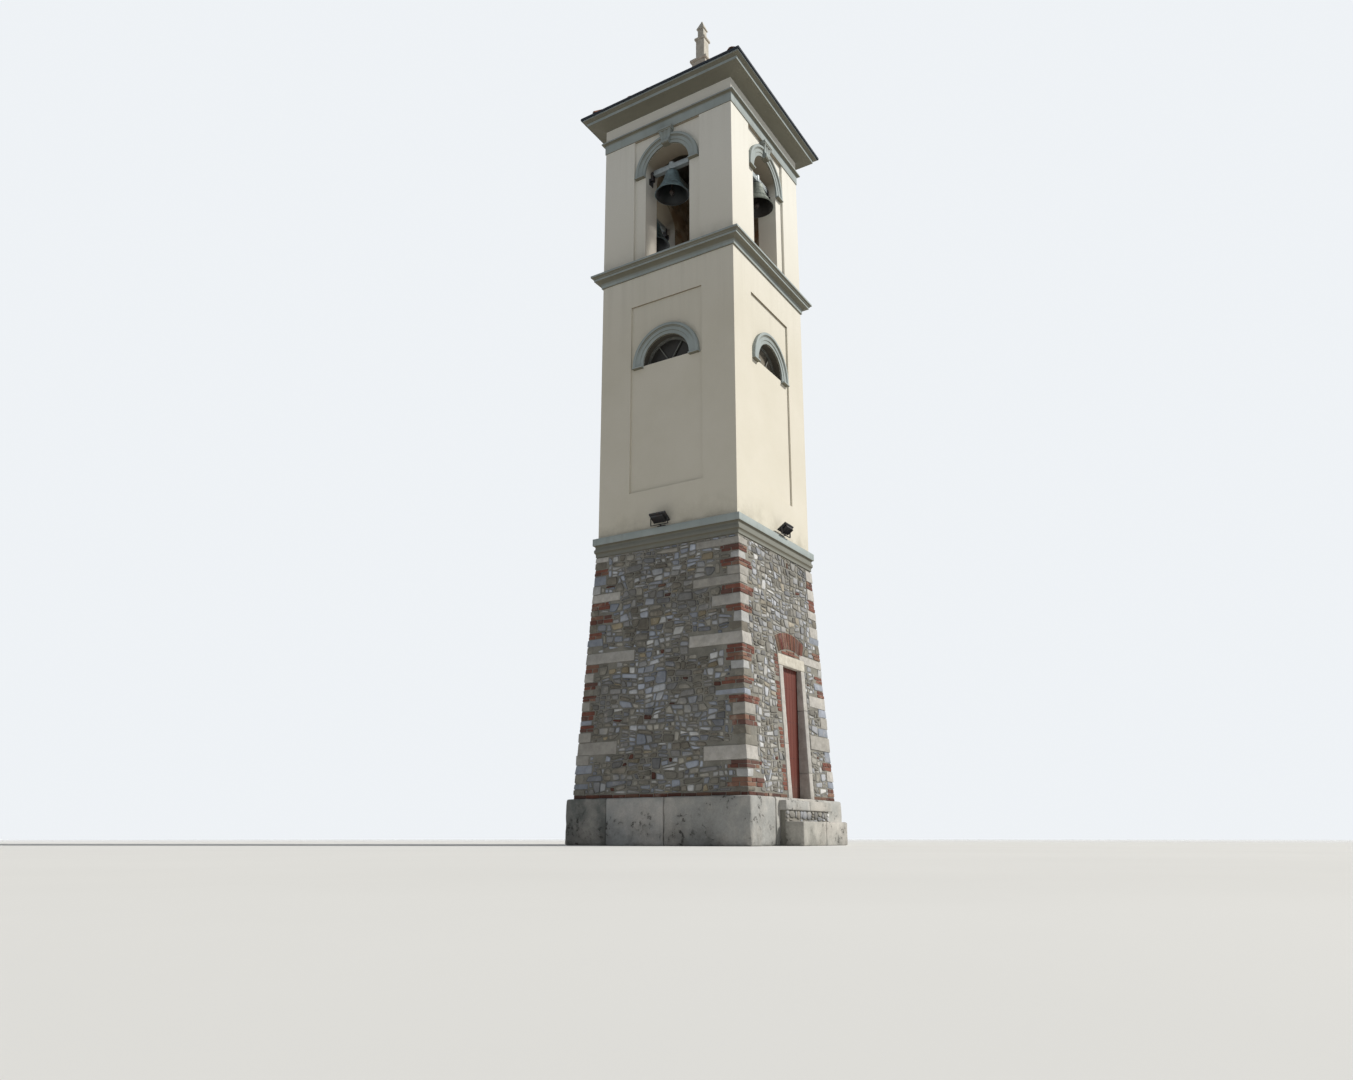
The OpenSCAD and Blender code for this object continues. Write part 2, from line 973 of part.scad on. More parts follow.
plinth();
ground_floor();
landing_slab();
landing_base();
lower_step();
base_wall_front_left();
base_wall_front_right();
base_wall_over_door();
base_wall_left();
base_wall_right();
base_wall_back();
door_jambs();
door_lintel();
door_arch();
base_cornice();
shaft_floor();
shaft_wall_front();
shaft_wall_left();
shaft_wall_right();
shaft_wall_back();
lunette_surrounds();
lunette_frames();
lunette_glass();
string_course();
belfry_floor();
belfry_wall_front();
belfry_wall_left();
belfry_wall_right();
belfry_wall_back();
belfry_archivolts();
keystones();
architrave();
frieze();
top_cornice();
roof();
pinnacle();
floodlights();
bell_bearings();
door_pintles();
door_leaf();
door_hardware();
front_bell();
front_yoke();
front_clapper();
left_bell();
left_yoke();
left_clapper();
back_bell();
back_yoke();
back_clapper();
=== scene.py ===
# %% [markdown]
# # A square bell tower with a stone base
# The tower stands in three storeys: a battered base of rubble, brick and long pale blocks, a
# plastered shaft with half-round windows, and an open belfry where three bells hang. The packed
# model gives the true sizes and places. This lesson dresses it: first the camera and the light,
# then the finishes, then the pieces from the ground up.

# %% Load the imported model
import math
import random

import bmesh
import bpy
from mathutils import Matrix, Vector, noise


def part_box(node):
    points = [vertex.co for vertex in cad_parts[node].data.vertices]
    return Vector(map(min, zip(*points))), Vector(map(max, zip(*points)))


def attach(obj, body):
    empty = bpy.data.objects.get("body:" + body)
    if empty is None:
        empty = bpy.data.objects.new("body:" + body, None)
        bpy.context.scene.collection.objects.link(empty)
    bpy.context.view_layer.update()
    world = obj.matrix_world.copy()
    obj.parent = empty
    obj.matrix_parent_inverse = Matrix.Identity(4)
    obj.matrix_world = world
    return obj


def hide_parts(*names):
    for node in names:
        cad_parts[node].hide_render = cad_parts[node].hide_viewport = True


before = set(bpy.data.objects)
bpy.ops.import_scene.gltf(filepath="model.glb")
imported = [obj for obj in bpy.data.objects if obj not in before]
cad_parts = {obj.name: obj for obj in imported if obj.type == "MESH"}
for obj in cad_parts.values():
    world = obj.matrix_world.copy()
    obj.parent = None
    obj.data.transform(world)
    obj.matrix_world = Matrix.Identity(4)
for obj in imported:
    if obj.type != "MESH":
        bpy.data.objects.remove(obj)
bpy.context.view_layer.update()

# %% [markdown]
# ## Camera
# The tower was seen from the ground, seventeen metres from its axis. Tilting the camera up makes
# the uprights lean together, as any tall building does in a picture, so the tilt is kept small
# and a little lens shift brings the pinnacle into the frame.

# %% Camera
IMAGE_W, FOCAL_PX, SENSOR_MM = 1353, 975, 36
STAND, AIM, TILT = (-14.78, -8.52, 0.13), (0.850, 0.5265), math.radians(14.0)
look = Vector((AIM[0] * math.cos(TILT), AIM[1] * math.cos(TILT), math.sin(TILT)))
camera = bpy.data.objects.new("camera", bpy.data.cameras.new("camera"))
bpy.context.scene.collection.objects.link(camera)
camera.location = STAND
camera.rotation_euler = look.to_track_quat("-Z", "Y").to_euler()
camera.data.sensor_width = SENSOR_MM
camera.data.lens = SENSOR_MM * FOCAL_PX / IMAGE_W
camera.data.shift_y = 0.040
camera.data.clip_end = 500
bpy.context.scene.camera = camera
print("lens", round(camera.data.lens, 2), "mm")

# %% [markdown]
# ## Light
# Two kinds of light are enough. The world gives an even light from everywhere, which alone
# lights the wide side, and one large soft lamp stands high on the right for the door's side.
# The background is a plain pale colour that only the camera and reflections see. The two
# functions that add nodes come first, because the finishes below use them too.

# %% Adding nodes
def feed(tree, socket, value):
    """Gives a socket a value, or a link where the value is another node's output."""
    if isinstance(value, bpy.types.NodeSocket):
        tree.links.new(value, socket)
    elif isinstance(value, tuple) and len(value) == 3 and socket.type == "RGBA":
        socket.default_value = (*value, 1)
    else:
        socket.default_value = value


def add_node(tree, kind, inputs=None, **settings):
    new = tree.nodes.new(kind)
    for key, value in settings.items():
        setattr(new, key, value)
    for socket, value in (inputs or {}).items():
        feed(tree, new.inputs[socket], value)
    return new


print("node functions ready")

# %% Light
EVEN_COLOUR, EVEN_STRENGTH = (0.93, 0.96, 1.0, 1), 0.255
PALE_COLOUR, PALE_STRENGTH = (0.86, 0.89, 0.92, 1), 1.0
LAMP_COLOUR, LAMP_STRENGTH, LAMP_SPREAD = (1.0, 0.965, 0.9), 3.5, math.radians(9)
LAMP_WAY = Vector((-0.36, 0.72, -0.60))

scene = bpy.context.scene
scene.view_settings.view_transform = "Standard"
scene.world = bpy.data.worlds.new("studio")
scene.world.use_nodes = True
sky = scene.world.node_tree
even = sky.nodes["Background"]
even.inputs["Color"].default_value = EVEN_COLOUR
even.inputs["Strength"].default_value = EVEN_STRENGTH
pale = add_node(sky, "ShaderNodeBackground", {"Color": PALE_COLOUR, "Strength": PALE_STRENGTH})
rays = add_node(sky, "ShaderNodeLightPath").outputs
seen = rays["Is Camera Ray"]
for ray in ("Is Glossy Ray", "Is Transmission Ray"):
    seen = add_node(sky, "ShaderNodeMath", {0: seen, 1: rays[ray]}, operation="MAXIMUM").outputs[0]
both = add_node(sky, "ShaderNodeMixShader", {0: seen, 1: even.outputs[0], 2: pale.outputs[0]})
feed(sky, sky.nodes["World Output"].inputs["Surface"], both.outputs[0])

lamp = bpy.data.objects.new("key_light", bpy.data.lights.new("key_light", "SUN"))
scene.collection.objects.link(lamp)
lamp.data.energy = LAMP_STRENGTH
lamp.data.angle = LAMP_SPREAD
lamp.data.color = LAMP_COLOUR
lamp.rotation_euler = LAMP_WAY.to_track_quat("-Z", "Y").to_euler()
print("light: even world and one soft lamp")

# %% [markdown]
# ## Finishes
# Every surface is painted by nodes, in the object's own coordinates, so that a pattern stays at
# its true scale in metres. A small class keeps each material short: it adds a node, feeds its
# sockets and hands back the output that the next node needs.

# %% A class for node materials
def srgb(red, green, blue):
    """A colour as a screen shows it, from 0 to 255, made linear for Blender."""
    parts = [v / 255 for v in (red, green, blue)]
    return tuple(v / 12.92 if v <= 0.04045 else ((v + 0.055) / 1.055) ** 2.4 for v in parts)


class Finish:
    """A node material with one Principled surface."""

    def __init__(self, name, **sockets):
        self.material = bpy.data.materials.new(name)
        self.material.use_nodes = True
        self.tree = self.material.node_tree
        self.surface = self.tree.nodes["Principled BSDF"]
        for socket, value in sockets.items():
            self.surface.inputs[socket.replace("_", " ")].default_value = value
        self.place = self.node("ShaderNodeTexCoord").outputs["Object"]

    def feed(self, socket, value):
        feed(self.tree, socket, value)

    def node(self, kind, inputs=None, **settings):
        return add_node(self.tree, kind, inputs, **settings)

    def spots(self, scale, detail=4.0, rough=0.55, stretch=None):
        """Noise from 0 to 1, which a stretch draws out along an axis."""
        place = self.place
        if stretch:
            place = self.node("ShaderNodeMapping", {"Vector": place, "Scale": stretch}).outputs[0]
        inputs = {"Vector": place, "Scale": scale, "Detail": detail, "Roughness": rough}
        return self.node("ShaderNodeTexNoise", inputs).outputs["Fac"]

    def spread(self, value, low, high, least=0.0, most=1.0):
        """The least where a value is low, the most where it is high, and between them a slope."""
        inputs = {"Value": value, "From Min": low, "From Max": high,
                  "To Min": least, "To Max": most}
        return self.node("ShaderNodeMapRange", inputs).outputs[0]

    def patches(self, scale, detail, rough, low, high, most=1.0, least=0.0, stretch=None):
        """A mask of noise between two levels."""
        return self.spread(self.spots(scale, detail, rough, stretch), low, high, least, most)

    def maths(self, operation, a, b=0.0):
        return self.node("ShaderNodeMath", {0: a, 1: b}, operation=operation).outputs[0]

    def times(self, a, b):
        return self.maths("MULTIPLY", a, b)

    def mix(self, share, a, b, blend="MIX"):
        inputs = {0: share, 6: a, 7: b}
        return self.node("ShaderNodeMix", inputs, data_type="RGBA", blend_type=blend).outputs[2]

    def tint(self):
        return self.node("ShaderNodeAttribute", attribute_name="tint").outputs["Color"]

    def axis(self, name, vector=None):
        return self.node("ShaderNodeSeparateXYZ", {0: vector or self.place}).outputs[name]

    def facing(self, axis):
        """How far the surface looks along an axis, from -1 to 1."""
        return self.axis(axis, self.node("ShaderNodeNewGeometry").outputs["Normal"])

    def finish(self, colour, rough, height=None, depth=0.01, strength=1.0):
        self.feed(self.surface.inputs["Base Color"], colour)
        self.feed(self.surface.inputs["Roughness"], rough)
        if height is not None:
            inputs = {"Height": height, "Distance": depth, "Strength": strength}
            self.feed(self.surface.inputs["Normal"], self.node("ShaderNodeBump", inputs).outputs[0])
        return self.material


print("node class ready")

# %% [markdown]
# ### Plaster
# The walls carry a smooth cream plaster. Rain has drawn faint streaks down from each ledge and
# splashed dirt up from the next one, so two masks are built from the height alone. Inside the
# belfry the old plaster is brown and patchy, and the mask for it is the distance from the axis.
# The reveals of the half-round windows lie in deep shade, so they are painted dark.

# %% Plaster
BASE_TOP, LEDGE_Z, STRING_Z, SILL_Z, FRIEZE_Z = 4.92, 5.27, 10.24, 10.495, 13.2
PANEL_FACE = 1.368  # how far from the axis the ground of the sunk panels lies
BELFRY_INSIDE = 0.974


def by_ledge(f, level, reach):
    """1 at a ledge, fading to 0 at a reach above it, or below it where the reach is negative."""
    height, side = f.axis("Z"), "GREATER_THAN" if reach > 0 else "LESS_THAN"
    beyond = f.maths(side, height, level - math.copysign(0.01, reach))
    return f.times(f.spread(height, level + reach, level), beyond)


def cream_plaster():
    f = Finish("cream_plaster", Roughness=0.85, Specular_IOR_Level=0.25)
    height, grain = f.axis("Z"), f.spots(38, 6, 0.7)
    colour = f.mix(f.patches(0.9, 5, 0.6, 0.3, 0.7), srgb(214, 209, 194), srgb(221, 216, 203))
    # The belfry is painted paler than the shaft below it: painted light.
    colour = f.mix(f.spread(height, 9.0, 12.4, 0.0, 0.75), colour, srgb(240, 239, 232))
    colour = f.mix(f.spread(grain, 0.3, 0.8, 0.0, 0.12), colour, srgb(192, 184, 166))
    dirt = f.times(f.patches(1.0, 5, 0.62, 0.48, 0.72, stretch=(7, 7, 0.28)),
                   f.maths("MAXIMUM", by_ledge(f, STRING_Z, -2.2), by_ledge(f, FRIEZE_Z, -1.3)))
    splash = f.times(f.maths("MAXIMUM", by_ledge(f, LEDGE_Z, 0.5), by_ledge(f, SILL_Z, 0.35)),
                     f.patches(3.1, 5, 0.65, 0.42, 0.66))
    colour = f.mix(f.times(dirt, 0.14), colour, srgb(158, 152, 138))
    colour = f.mix(f.times(splash, 0.42), colour, srgb(150, 145, 128))
    # Every face that looks down, such as the soffits of the arches, is painted dark brown: painted
    # shade.
    colour = f.mix(f.spread(f.facing("Z"), -0.02, -0.5, 0.0, 0.82), colour, srgb(112, 98, 74))
    side = f.maths("MAXIMUM", *(f.maths("ABSOLUTE", f.axis(name)) for name in "XY"))
    old = f.mix(f.patches(1.6, 6, 0.62, 0.36, 0.58), srgb(118, 98, 76), srgb(168, 158, 138))
    old = f.mix(f.patches(2.6, 5, 0.6, 0.57, 0.65), old, srgb(146, 98, 66))
    old = f.mix(f.patches(5.5, 5, 0.65, 0.56, 0.68, 0.8), old, srgb(82, 74, 62))
    colour = f.mix(f.maths("LESS_THAN", side, BELFRY_INSIDE), colour, old)
    sill, crown = (corner.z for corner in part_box("lunette_glass"))
    reveal = f.times(f.maths("LESS_THAN", side, PANEL_FACE - 0.003),
                     f.maths("LESS_THAN", height, crown + 0.02))
    reveal = f.times(reveal, f.maths("GREATER_THAN", height, sill - 0.003))
    colour = f.mix(f.times(reveal, 0.92), colour, srgb(78, 75, 68))
    bumps = f.maths("ADD", f.times(grain, 0.25), f.spots(2.5, 3, 0.5))
    return f.finish(colour, f.spread(grain, 0.2, 0.8, 0.78, 0.92), bumps, 0.006, 0.5)


PLASTER = cream_plaster()
print(PLASTER.name, "ready")

# %% [markdown]
# ### Painted mouldings
# The cornices, the string course and the arch surrounds are run in plaster and painted in one
# blue-grey. The paint has gone chalky and dust lies on whatever faces up, while whatever faces
# down is painted darker as painted shade, so the normal's height steers the colour. The lower
# half of the base cornice is painted darker and browner too, as painted shade under its fascia.

# %% Painted mouldings
def trim_paint():
    f = Finish("trim_paint", Roughness=0.7, Specular_IOR_Level=0.3)
    cloud, fine, facing = f.spots(1.8, 5, 0.6), f.spots(45, 5, 0.7), f.facing("Z")
    colour = f.mix(f.spread(cloud, 0.32, 0.68), srgb(150, 160, 160), srgb(167, 176, 175))
    streak = f.patches(1.0, 5, 0.6, 0.50, 0.74, 0.35, stretch=(9, 9, 0.8))
    colour = f.mix(streak, colour, srgb(128, 130, 122))
    # Faces that look down are painted darker: painted shade.
    colour = f.mix(f.spread(facing, -0.08, -0.6, 0.0, 0.88), colour, srgb(106, 100, 82))
    # The band of the base cornice under its fascia is painted darker: painted shade.
    under_fascia_shade = f.times(f.maths("LESS_THAN", f.axis("Z"), 5.134),
                     f.maths("GREATER_THAN", f.axis("Z"), 4.9))
    colour = f.mix(f.times(under_fascia_shade, 0.75), colour, srgb(106, 102, 89))
    dust = f.times(f.spread(facing, 0.5, 0.95), f.patches(5, 5, 0.7, 0.35, 0.62, 0.85, 0.25))
    colour = f.mix(dust, colour, srgb(98, 94, 84))
    colour = f.mix(f.patches(11, 6, 0.72, 0.67, 0.72, 0.6), colour, srgb(196, 192, 178))
    bumps = f.maths("ADD", f.times(fine, 0.3), cloud)
    return f.finish(colour, f.spread(fine, 0.2, 0.8, 0.6, 0.8), bumps, 0.004, 0.5)


TRIM = trim_paint()
print(TRIM.name, "ready")

# %% [markdown]
# ### Stones, bricks and mortar
# Each stone, brick and block brings its own colour in an attribute called tint. The materials
# only add what the tint can't give: mottling, grain, pits and lime bloom. The big slabs near the
# ground have lime patches, darker patches towards the foot and clusters of dark pits.

# %% Masonry
def masonry(name, grain_scale, pit_scale, pit_depth, bloom):
    f = Finish(name, Roughness=0.85, Specular_IOR_Level=0.25)
    mottle, grain = f.spots(9, 5, 0.65), f.spots(grain_scale, 6, 0.7)
    cells = f.node("ShaderNodeTexVoronoi", {"Vector": f.place, "Scale": pit_scale})
    pits = f.spread(cells.outputs["Distance"], 0.0, 0.22)
    hole = f.times(f.maths("SUBTRACT", 1.0, pits), f.patches(6, 3, 0.5, 0.50, 0.62))
    dark, light = srgb(120, 112, 98), srgb(225, 220, 208)
    colour = f.mix(f.spread(mottle, 0.3, 0.7, 0.0, 0.38), f.tint(), dark, "MULTIPLY")
    colour = f.mix(f.spread(grain, 0.35, 0.75, 0.0, 0.30), colour, light, "OVERLAY")
    colour = f.mix(f.patches(3.3, 6, 0.7, 0.55, 0.75, bloom), colour, srgb(206, 200, 186))
    colour = f.mix(f.times(hole, 0.6), colour, srgb(72, 64, 54))
    bumps = f.maths("ADD", f.times(grain, 0.5), mottle)
    bumps = f.maths("SUBTRACT", bumps, f.times(hole, 1.2))
    return f.finish(colour, f.spread(grain, 0.2, 0.8, 0.75, 0.95), bumps, pit_depth, 0.8)


def stained_stone():
    f = Finish("plinth_stone", Roughness=0.85, Specular_IOR_Level=0.25)
    grain = f.spots(42, 6, 0.7)
    colour = f.mix(f.patches(1.4, 6, 0.62, 0.44, 0.62, 0.5), f.tint(), srgb(220, 214, 206))
    shade = srgb(150, 146, 138)
    colour = f.mix(f.spread(grain, 0.35, 0.75, 0.0, 0.3), colour, shade, "MULTIPLY")
    # Patches darken the slabs towards the foot.
    foot = f.spread(f.axis("Z"), 0.4, 0.02, 0.3, 0.75)
    darker_foot = f.times(f.patches(2.4, 7, 0.7, 0.40, 0.62, 0.8), foot)
    colour = f.mix(darker_foot, colour, srgb(98, 97, 92))
    pits = f.times(f.patches(12, 9, 0.8, 0.545, 0.60), f.patches(2.3, 4, 0.6, 0.50, 0.58))
    colour = f.mix(f.times(pits, 0.85), colour, srgb(58, 55, 50))
    bumps = f.maths("SUBTRACT", f.times(grain, 0.5), pits)
    return f.finish(colour, f.spread(grain, 0.2, 0.8, 0.75, 0.95), bumps, 0.008, 0.8)


def lime_mortar():
    f = Finish("lime_mortar", Roughness=0.95)
    sand = f.spots(120, 5, 0.75)
    colour = f.mix(f.patches(2.4, 5, 0.65, 0.35, 0.65), srgb(116, 114, 107), srgb(148, 146, 138))
    colour = f.mix(f.spread(sand, 0.4, 0.8, 0.0, 0.45), colour, srgb(92, 88, 80))
    colour = f.mix(f.patches(14, 5, 0.7, 0.6, 0.72, 0.5), colour, srgb(180, 176, 164))
    bumps = f.maths("ADD", f.times(sand, 0.35), f.spots(16, 5, 0.7))
    return f.finish(colour, f.spread(sand, 0.2, 0.8, 0.88, 0.99), bumps, 0.012, 0.9)


RUBBLE = masonry("rubble_stone", 60, 40, 0.006, 0.5)
PALE_BLOCK = masonry("pale_block", 42, 26, 0.008, 0.35)
BRICK = masonry("old_brick", 90, 60, 0.004, 0.45)
PLINTH_STONE, MORTAR = stained_stone(), lime_mortar()
print("masonry and mortar ready")

# %% [markdown]
# ### Wood, tile, glass and metal
# The last finishes follow the same pattern: a base colour, one mask for wear or dirt, and a small
# bump. The bronze has a blue-grey patina with paler runs, and the bells' insides are painted shade.

# %% Painted wood, terracotta
def painted_wood():
    f = Finish("door_paint")
    grain = f.spots(9, 6, 0.6, (12, 12, 0.9))
    bare = f.patches(5, 5, 0.7, 0.62, 0.74, stretch=(3, 3, 0.6))
    colour = f.mix(grain, srgb(84, 34, 24), srgb(110, 47, 31))
    colour = f.mix(1.0, colour, f.tint(), "MULTIPLY")
    colour = f.mix(f.times(bare, 0.5), colour, srgb(126, 92, 74))
    foot = f.times(f.spread(f.axis("Z"), 1.15, 0.75), f.spots(7))
    colour = f.mix(foot, colour, srgb(92, 80, 70))
    return f.finish(colour, f.spread(grain, 0.3, 0.7, 0.55, 0.8), grain, 0.004, 0.5)


def fired_clay(name, warm, dark, lichen):
    f = Finish(name)
    colour = f.mix(f.patches(3.1, 4, 0.55, 0.35, 0.65), warm, dark)
    colour = f.mix(1.0, colour, f.tint(), "MULTIPLY")
    growth = f.patches(13, 6, 0.7, 0.60, 0.72)
    colour = f.mix(f.times(growth, lichen), colour, srgb(120, 118, 100))
    return f.finish(colour, 0.9, f.spots(60, 5), 0.004, 0.6)


DOOR_PAINT = painted_wood()
TERRACOTTA = fired_clay("floor_terracotta", srgb(170, 106, 80), srgb(146, 92, 74), 0.1)
TILE = fired_clay("roof_terracotta", srgb(178, 116, 88), srgb(150, 104, 84), 0.8)
print("paint and fired clay ready")


# %% Metals
def dull_metal(name, clean, worn, share, rough, metallic=0.0, scale=14, shine=0.5):
    f = Finish(name, Metallic=metallic, Specular_IOR_Level=shine)
    wear = f.patches(scale, 6, 0.7, 0.5, 0.68)
    colour = f.mix(f.times(wear, share), srgb(*clean), srgb(*worn))
    dullness = f.spread(wear, 0.0, 1.0, rough, min(rough + 0.25, 0.95))
    return f.finish(colour, dullness, f.spots(90, 3), 0.0015, 0.4)


def patinated_bronze(name, patina, runs, deep):
    f = Finish(name, Metallic=0.25)
    streak = f.patches(9, 6, 0.65, 0.42, 0.66, stretch=(3.5, 3.5, 0.45))
    colour = f.mix(f.patches(6, 5, 0.55, 0.35, 0.7), srgb(*patina), srgb(*deep))
    colour = f.mix(f.times(streak, 0.55), colour, srgb(*runs))
    colour = f.mix(1.0, colour, f.tint(), "MULTIPLY")
    return f.finish(colour, f.spread(streak, 0.0, 1.0, 0.42, 0.7), f.spots(45, 5), 0.002, 0.5)


IRON = dull_metal("black_iron", (34, 34, 36), (88, 62, 48), 0.35, 0.55)
DARK_METAL = dull_metal("drip_metal", (44, 50, 58), (70, 72, 74), 0.5, 0.72, scale=3, shine=0.2)
FRAME_PAINT = dull_metal("frame_paint", (96, 97, 92), (150, 148, 138), 0.6, 0.5)
YOKE_STEEL = dull_metal("yoke_steel", (140, 148, 150), (104, 108, 108), 0.6, 0.45, metallic=0.35)
CLAPPER_IRON = dull_metal("clapper_iron", (52, 46, 42), (92, 66, 50), 0.5, 0.6)
BELL_BLUE = patinated_bronze("bell_bronze", (88, 106, 112), (122, 144, 146), (60, 72, 76))
BELL_GREEN = patinated_bronze("bell_green", (116, 124, 116), (162, 168, 158), (84, 90, 84))
print("metals ready")


# %% Glass
def dusty_glass_with_painted_sun():
    f = Finish("dusty_glass_with_painted_sun", IOR=1.5, Specular_IOR_Level=0.2)
    dust = f.spots(4, 6, 0.7)
    # Glass facing the door's side takes more of the pale dust colour: the dust is real, the extra
    # paleness there is painted sunlight.
    painted_sun_side = f.spread(f.facing("Y"), -0.3, -0.8, 0.1, 0.75)
    share = f.times(f.spread(dust, 0.3, 0.65, 0.4), painted_sun_side)
    colour = f.mix(share, srgb(20, 22, 23), srgb(150, 142, 128))
    film = f.patches(30, 3, 0.55, 0.3, 0.7)
    return f.finish(colour, f.spread(dust, 0.3, 0.7, 0.3, 0.5), film, 0.0004, 0.2)


def lamp_lens():
    f = Finish("lamp_lens", IOR=1.5)
    wave = f.node("ShaderNodeTexWave", {"Vector": f.place, "Scale": 30.0, "Distortion": 0.3})
    dust = f.spots(20, 5)
    colour = f.mix(dust, srgb(120, 124, 126), srgb(160, 158, 150))
    rough = f.spread(dust, 0.3, 0.7, 0.1, 0.35)
    return f.finish(colour, rough, wave.outputs["Fac"], 0.002, 0.5)


GLASS, LENS = dusty_glass_with_painted_sun(), lamp_lens()
print(len(bpy.data.materials), "materials")

# %% [markdown]
# ## Shapes
# A wall of stones is thousands of corners, so each piece is gathered as plain lists first and
# becomes one mesh at the end. The tint of a face is stored at its corners, where the material
# reads it. A bevel rounds every edge of the blocks at once.

# %% A class that gathers a piece
WHITE = (1, 1, 1)


def new_piece(name, mesh, material, body="tower", nodes=(), slot=None, smooth=40):
    """Puts a mesh into the scene, ties it to its body and hides the CAD nodes it replaces."""
    mesh.materials.clear()
    mesh.materials.append(material)
    mesh.shade_smooth()
    mesh.set_sharp_from_angle(angle=math.radians(smooth))
    piece = bpy.data.objects.new(name, mesh)
    scene.collection.objects.link(piece)
    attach(piece, body)
    if nodes:
        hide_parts(*nodes)
    print(name, len(mesh.polygons), "faces")


class Shape:
    """Points, faces and tints of one piece."""

    def __init__(self):
        self.points, self.faces, self.tints = [], [], []

    def add(self, points, faces, tint=WHITE):
        first = len(self.points)
        self.points += [tuple(p) for p in points]
        self.faces += [[first + i for i in face] for face in faces]
        self.tints += tint if isinstance(tint, list) else [tint] * len(faces)

    def mesh(self, name, bevel=0.0, segments=1, outward=True, tinted=True):
        mesh = bpy.data.meshes.new(name)
        mesh.from_pydata(self.points, [], self.faces)
        if tinted:
            tint = mesh.color_attributes.new(name="tint", type="FLOAT_COLOR", domain="CORNER")
            for face, colour in zip(mesh.polygons, self.tints):
                for loop in face.loop_indices:
                    tint.data[loop].color = (*colour, 1)
        work = bmesh.new()
        work.from_mesh(mesh)
        if outward:
            bmesh.ops.recalc_face_normals(work, faces=work.faces)
        if bevel:
            bmesh.ops.bevel(work, geom=work.edges, offset=bevel, segments=segments, profile=0.6,
                            affect="EDGES", clamp_overlap=True)
        work.to_mesh(mesh)
        work.free()
        return mesh

    def piece(self, name, material, body="tower", nodes=(), slot=None, smooth=40, **making):
        new_piece(name, self.mesh(name, **making), material, body, nodes, slot, smooth)


SIX_SIDES = [(0, 3, 2, 1), (4, 5, 6, 7), (0, 1, 5, 4), (1, 2, 6, 5), (2, 3, 7, 6), (3, 0, 4, 7)]


def ring_faces(rings, n, capped=True):
    """Faces between rings of n points each, with a cap on the first ring and on the last."""
    faces = [(r * n + i, r * n + (i + 1) % n, (r + 1) * n + (i + 1) % n, (r + 1) * n + i)
             for r in range(rings - 1) for i in range(n)]
    if capped:
        faces += [list(range(n)), list(range((rings - 1) * n, rings * n))]
    return faces


def dome_faces(rings, n):
    """Faces between rings of n points each, closed by one point above the last ring."""
    last = (rings - 1) * n
    tip = [(last + i, last + (i + 1) % n, rings * n) for i in range(n)]
    return ring_faces(rings, n, capped=False) + tip


def centre(outline):
    return tuple(sum(p[i] for p in outline) / len(outline) for i in (0, 1))


def tinged(colour, tone):
    return tuple(c * tone for c in colour)


print("shape class ready")

# %% [markdown]
# ## The battered base
# The four sides are the same flat problem: a distance u along the wall, a height z and a
# distance out of its face. One function turns that into a point in space for any side, with the
# batter, so everything on the base can be laid out flat.

# %% Places on the base
FOOT_HALF, HEAD_HALF, PLINTH_HALF, PLINTH_H = 1.63, 1.415, 1.73, 0.74
TAPER = (FOOT_HALF - HEAD_HALF) / (BASE_TOP - PLINTH_H)
FRONT, WIDE, BACK, RIGHT = 0, 1, 2, 3


def batter(z):
    return FOOT_HALF + (HEAD_HALF - FOOT_HALF) * (z - PLINTH_H) / (BASE_TOP - PLINTH_H)


def turned(side, x, y, z):
    """A point drawn on the front, brought to another side by quarter turns."""
    for _ in range(side):
        x, y = y, -x
    return (x, y, z)


def turner(side, y0=0.0, z0=0.0):
    """A function that carries points to a side, from a place on the front's middle line."""
    return lambda x, y, z: turned(side, x, y0 + y, z0 + z)


def on_base(side, u, z, out):
    return turned(side, u, -(batter(z) + out), z)


print("foot", batter(PLINTH_H), "head", batter(BASE_TOP))

# %% [markdown]
# ### Quoins
# Each corner is built up of short stacks of red brick, long pale blocks and ordinary stones, and
# no two are alike. The near corner and the left end of the wide side follow the real order from
# the head down; the other two continue in the same manner from a seeded draw. A block holds the
# corner, so it shows on two sides, with its own length on each.

# %% Quoins
PALE = [srgb(190, 188, 185), srgb(178, 177, 175), srgb(170, 168, 164), srgb(196, 194, 191)]
BRICKS = [srgb(122, 80, 70), srgb(108, 73, 65), srgb(130, 88, 76), srgb(106, 80, 74),
          srgb(134, 104, 90)]
STONES = [srgb(162, 169, 183), srgb(147, 154, 167), srgb(173, 177, 184), srgb(185, 187, 189),
          srgb(152, 150, 144), srgb(138, 136, 129), srgb(124, 120, 112), srgb(152, 142, 122),
          srgb(150, 151, 153), srgb(128, 132, 140)]
P, B, S, G = "pale", "brick", "stone", "blue"
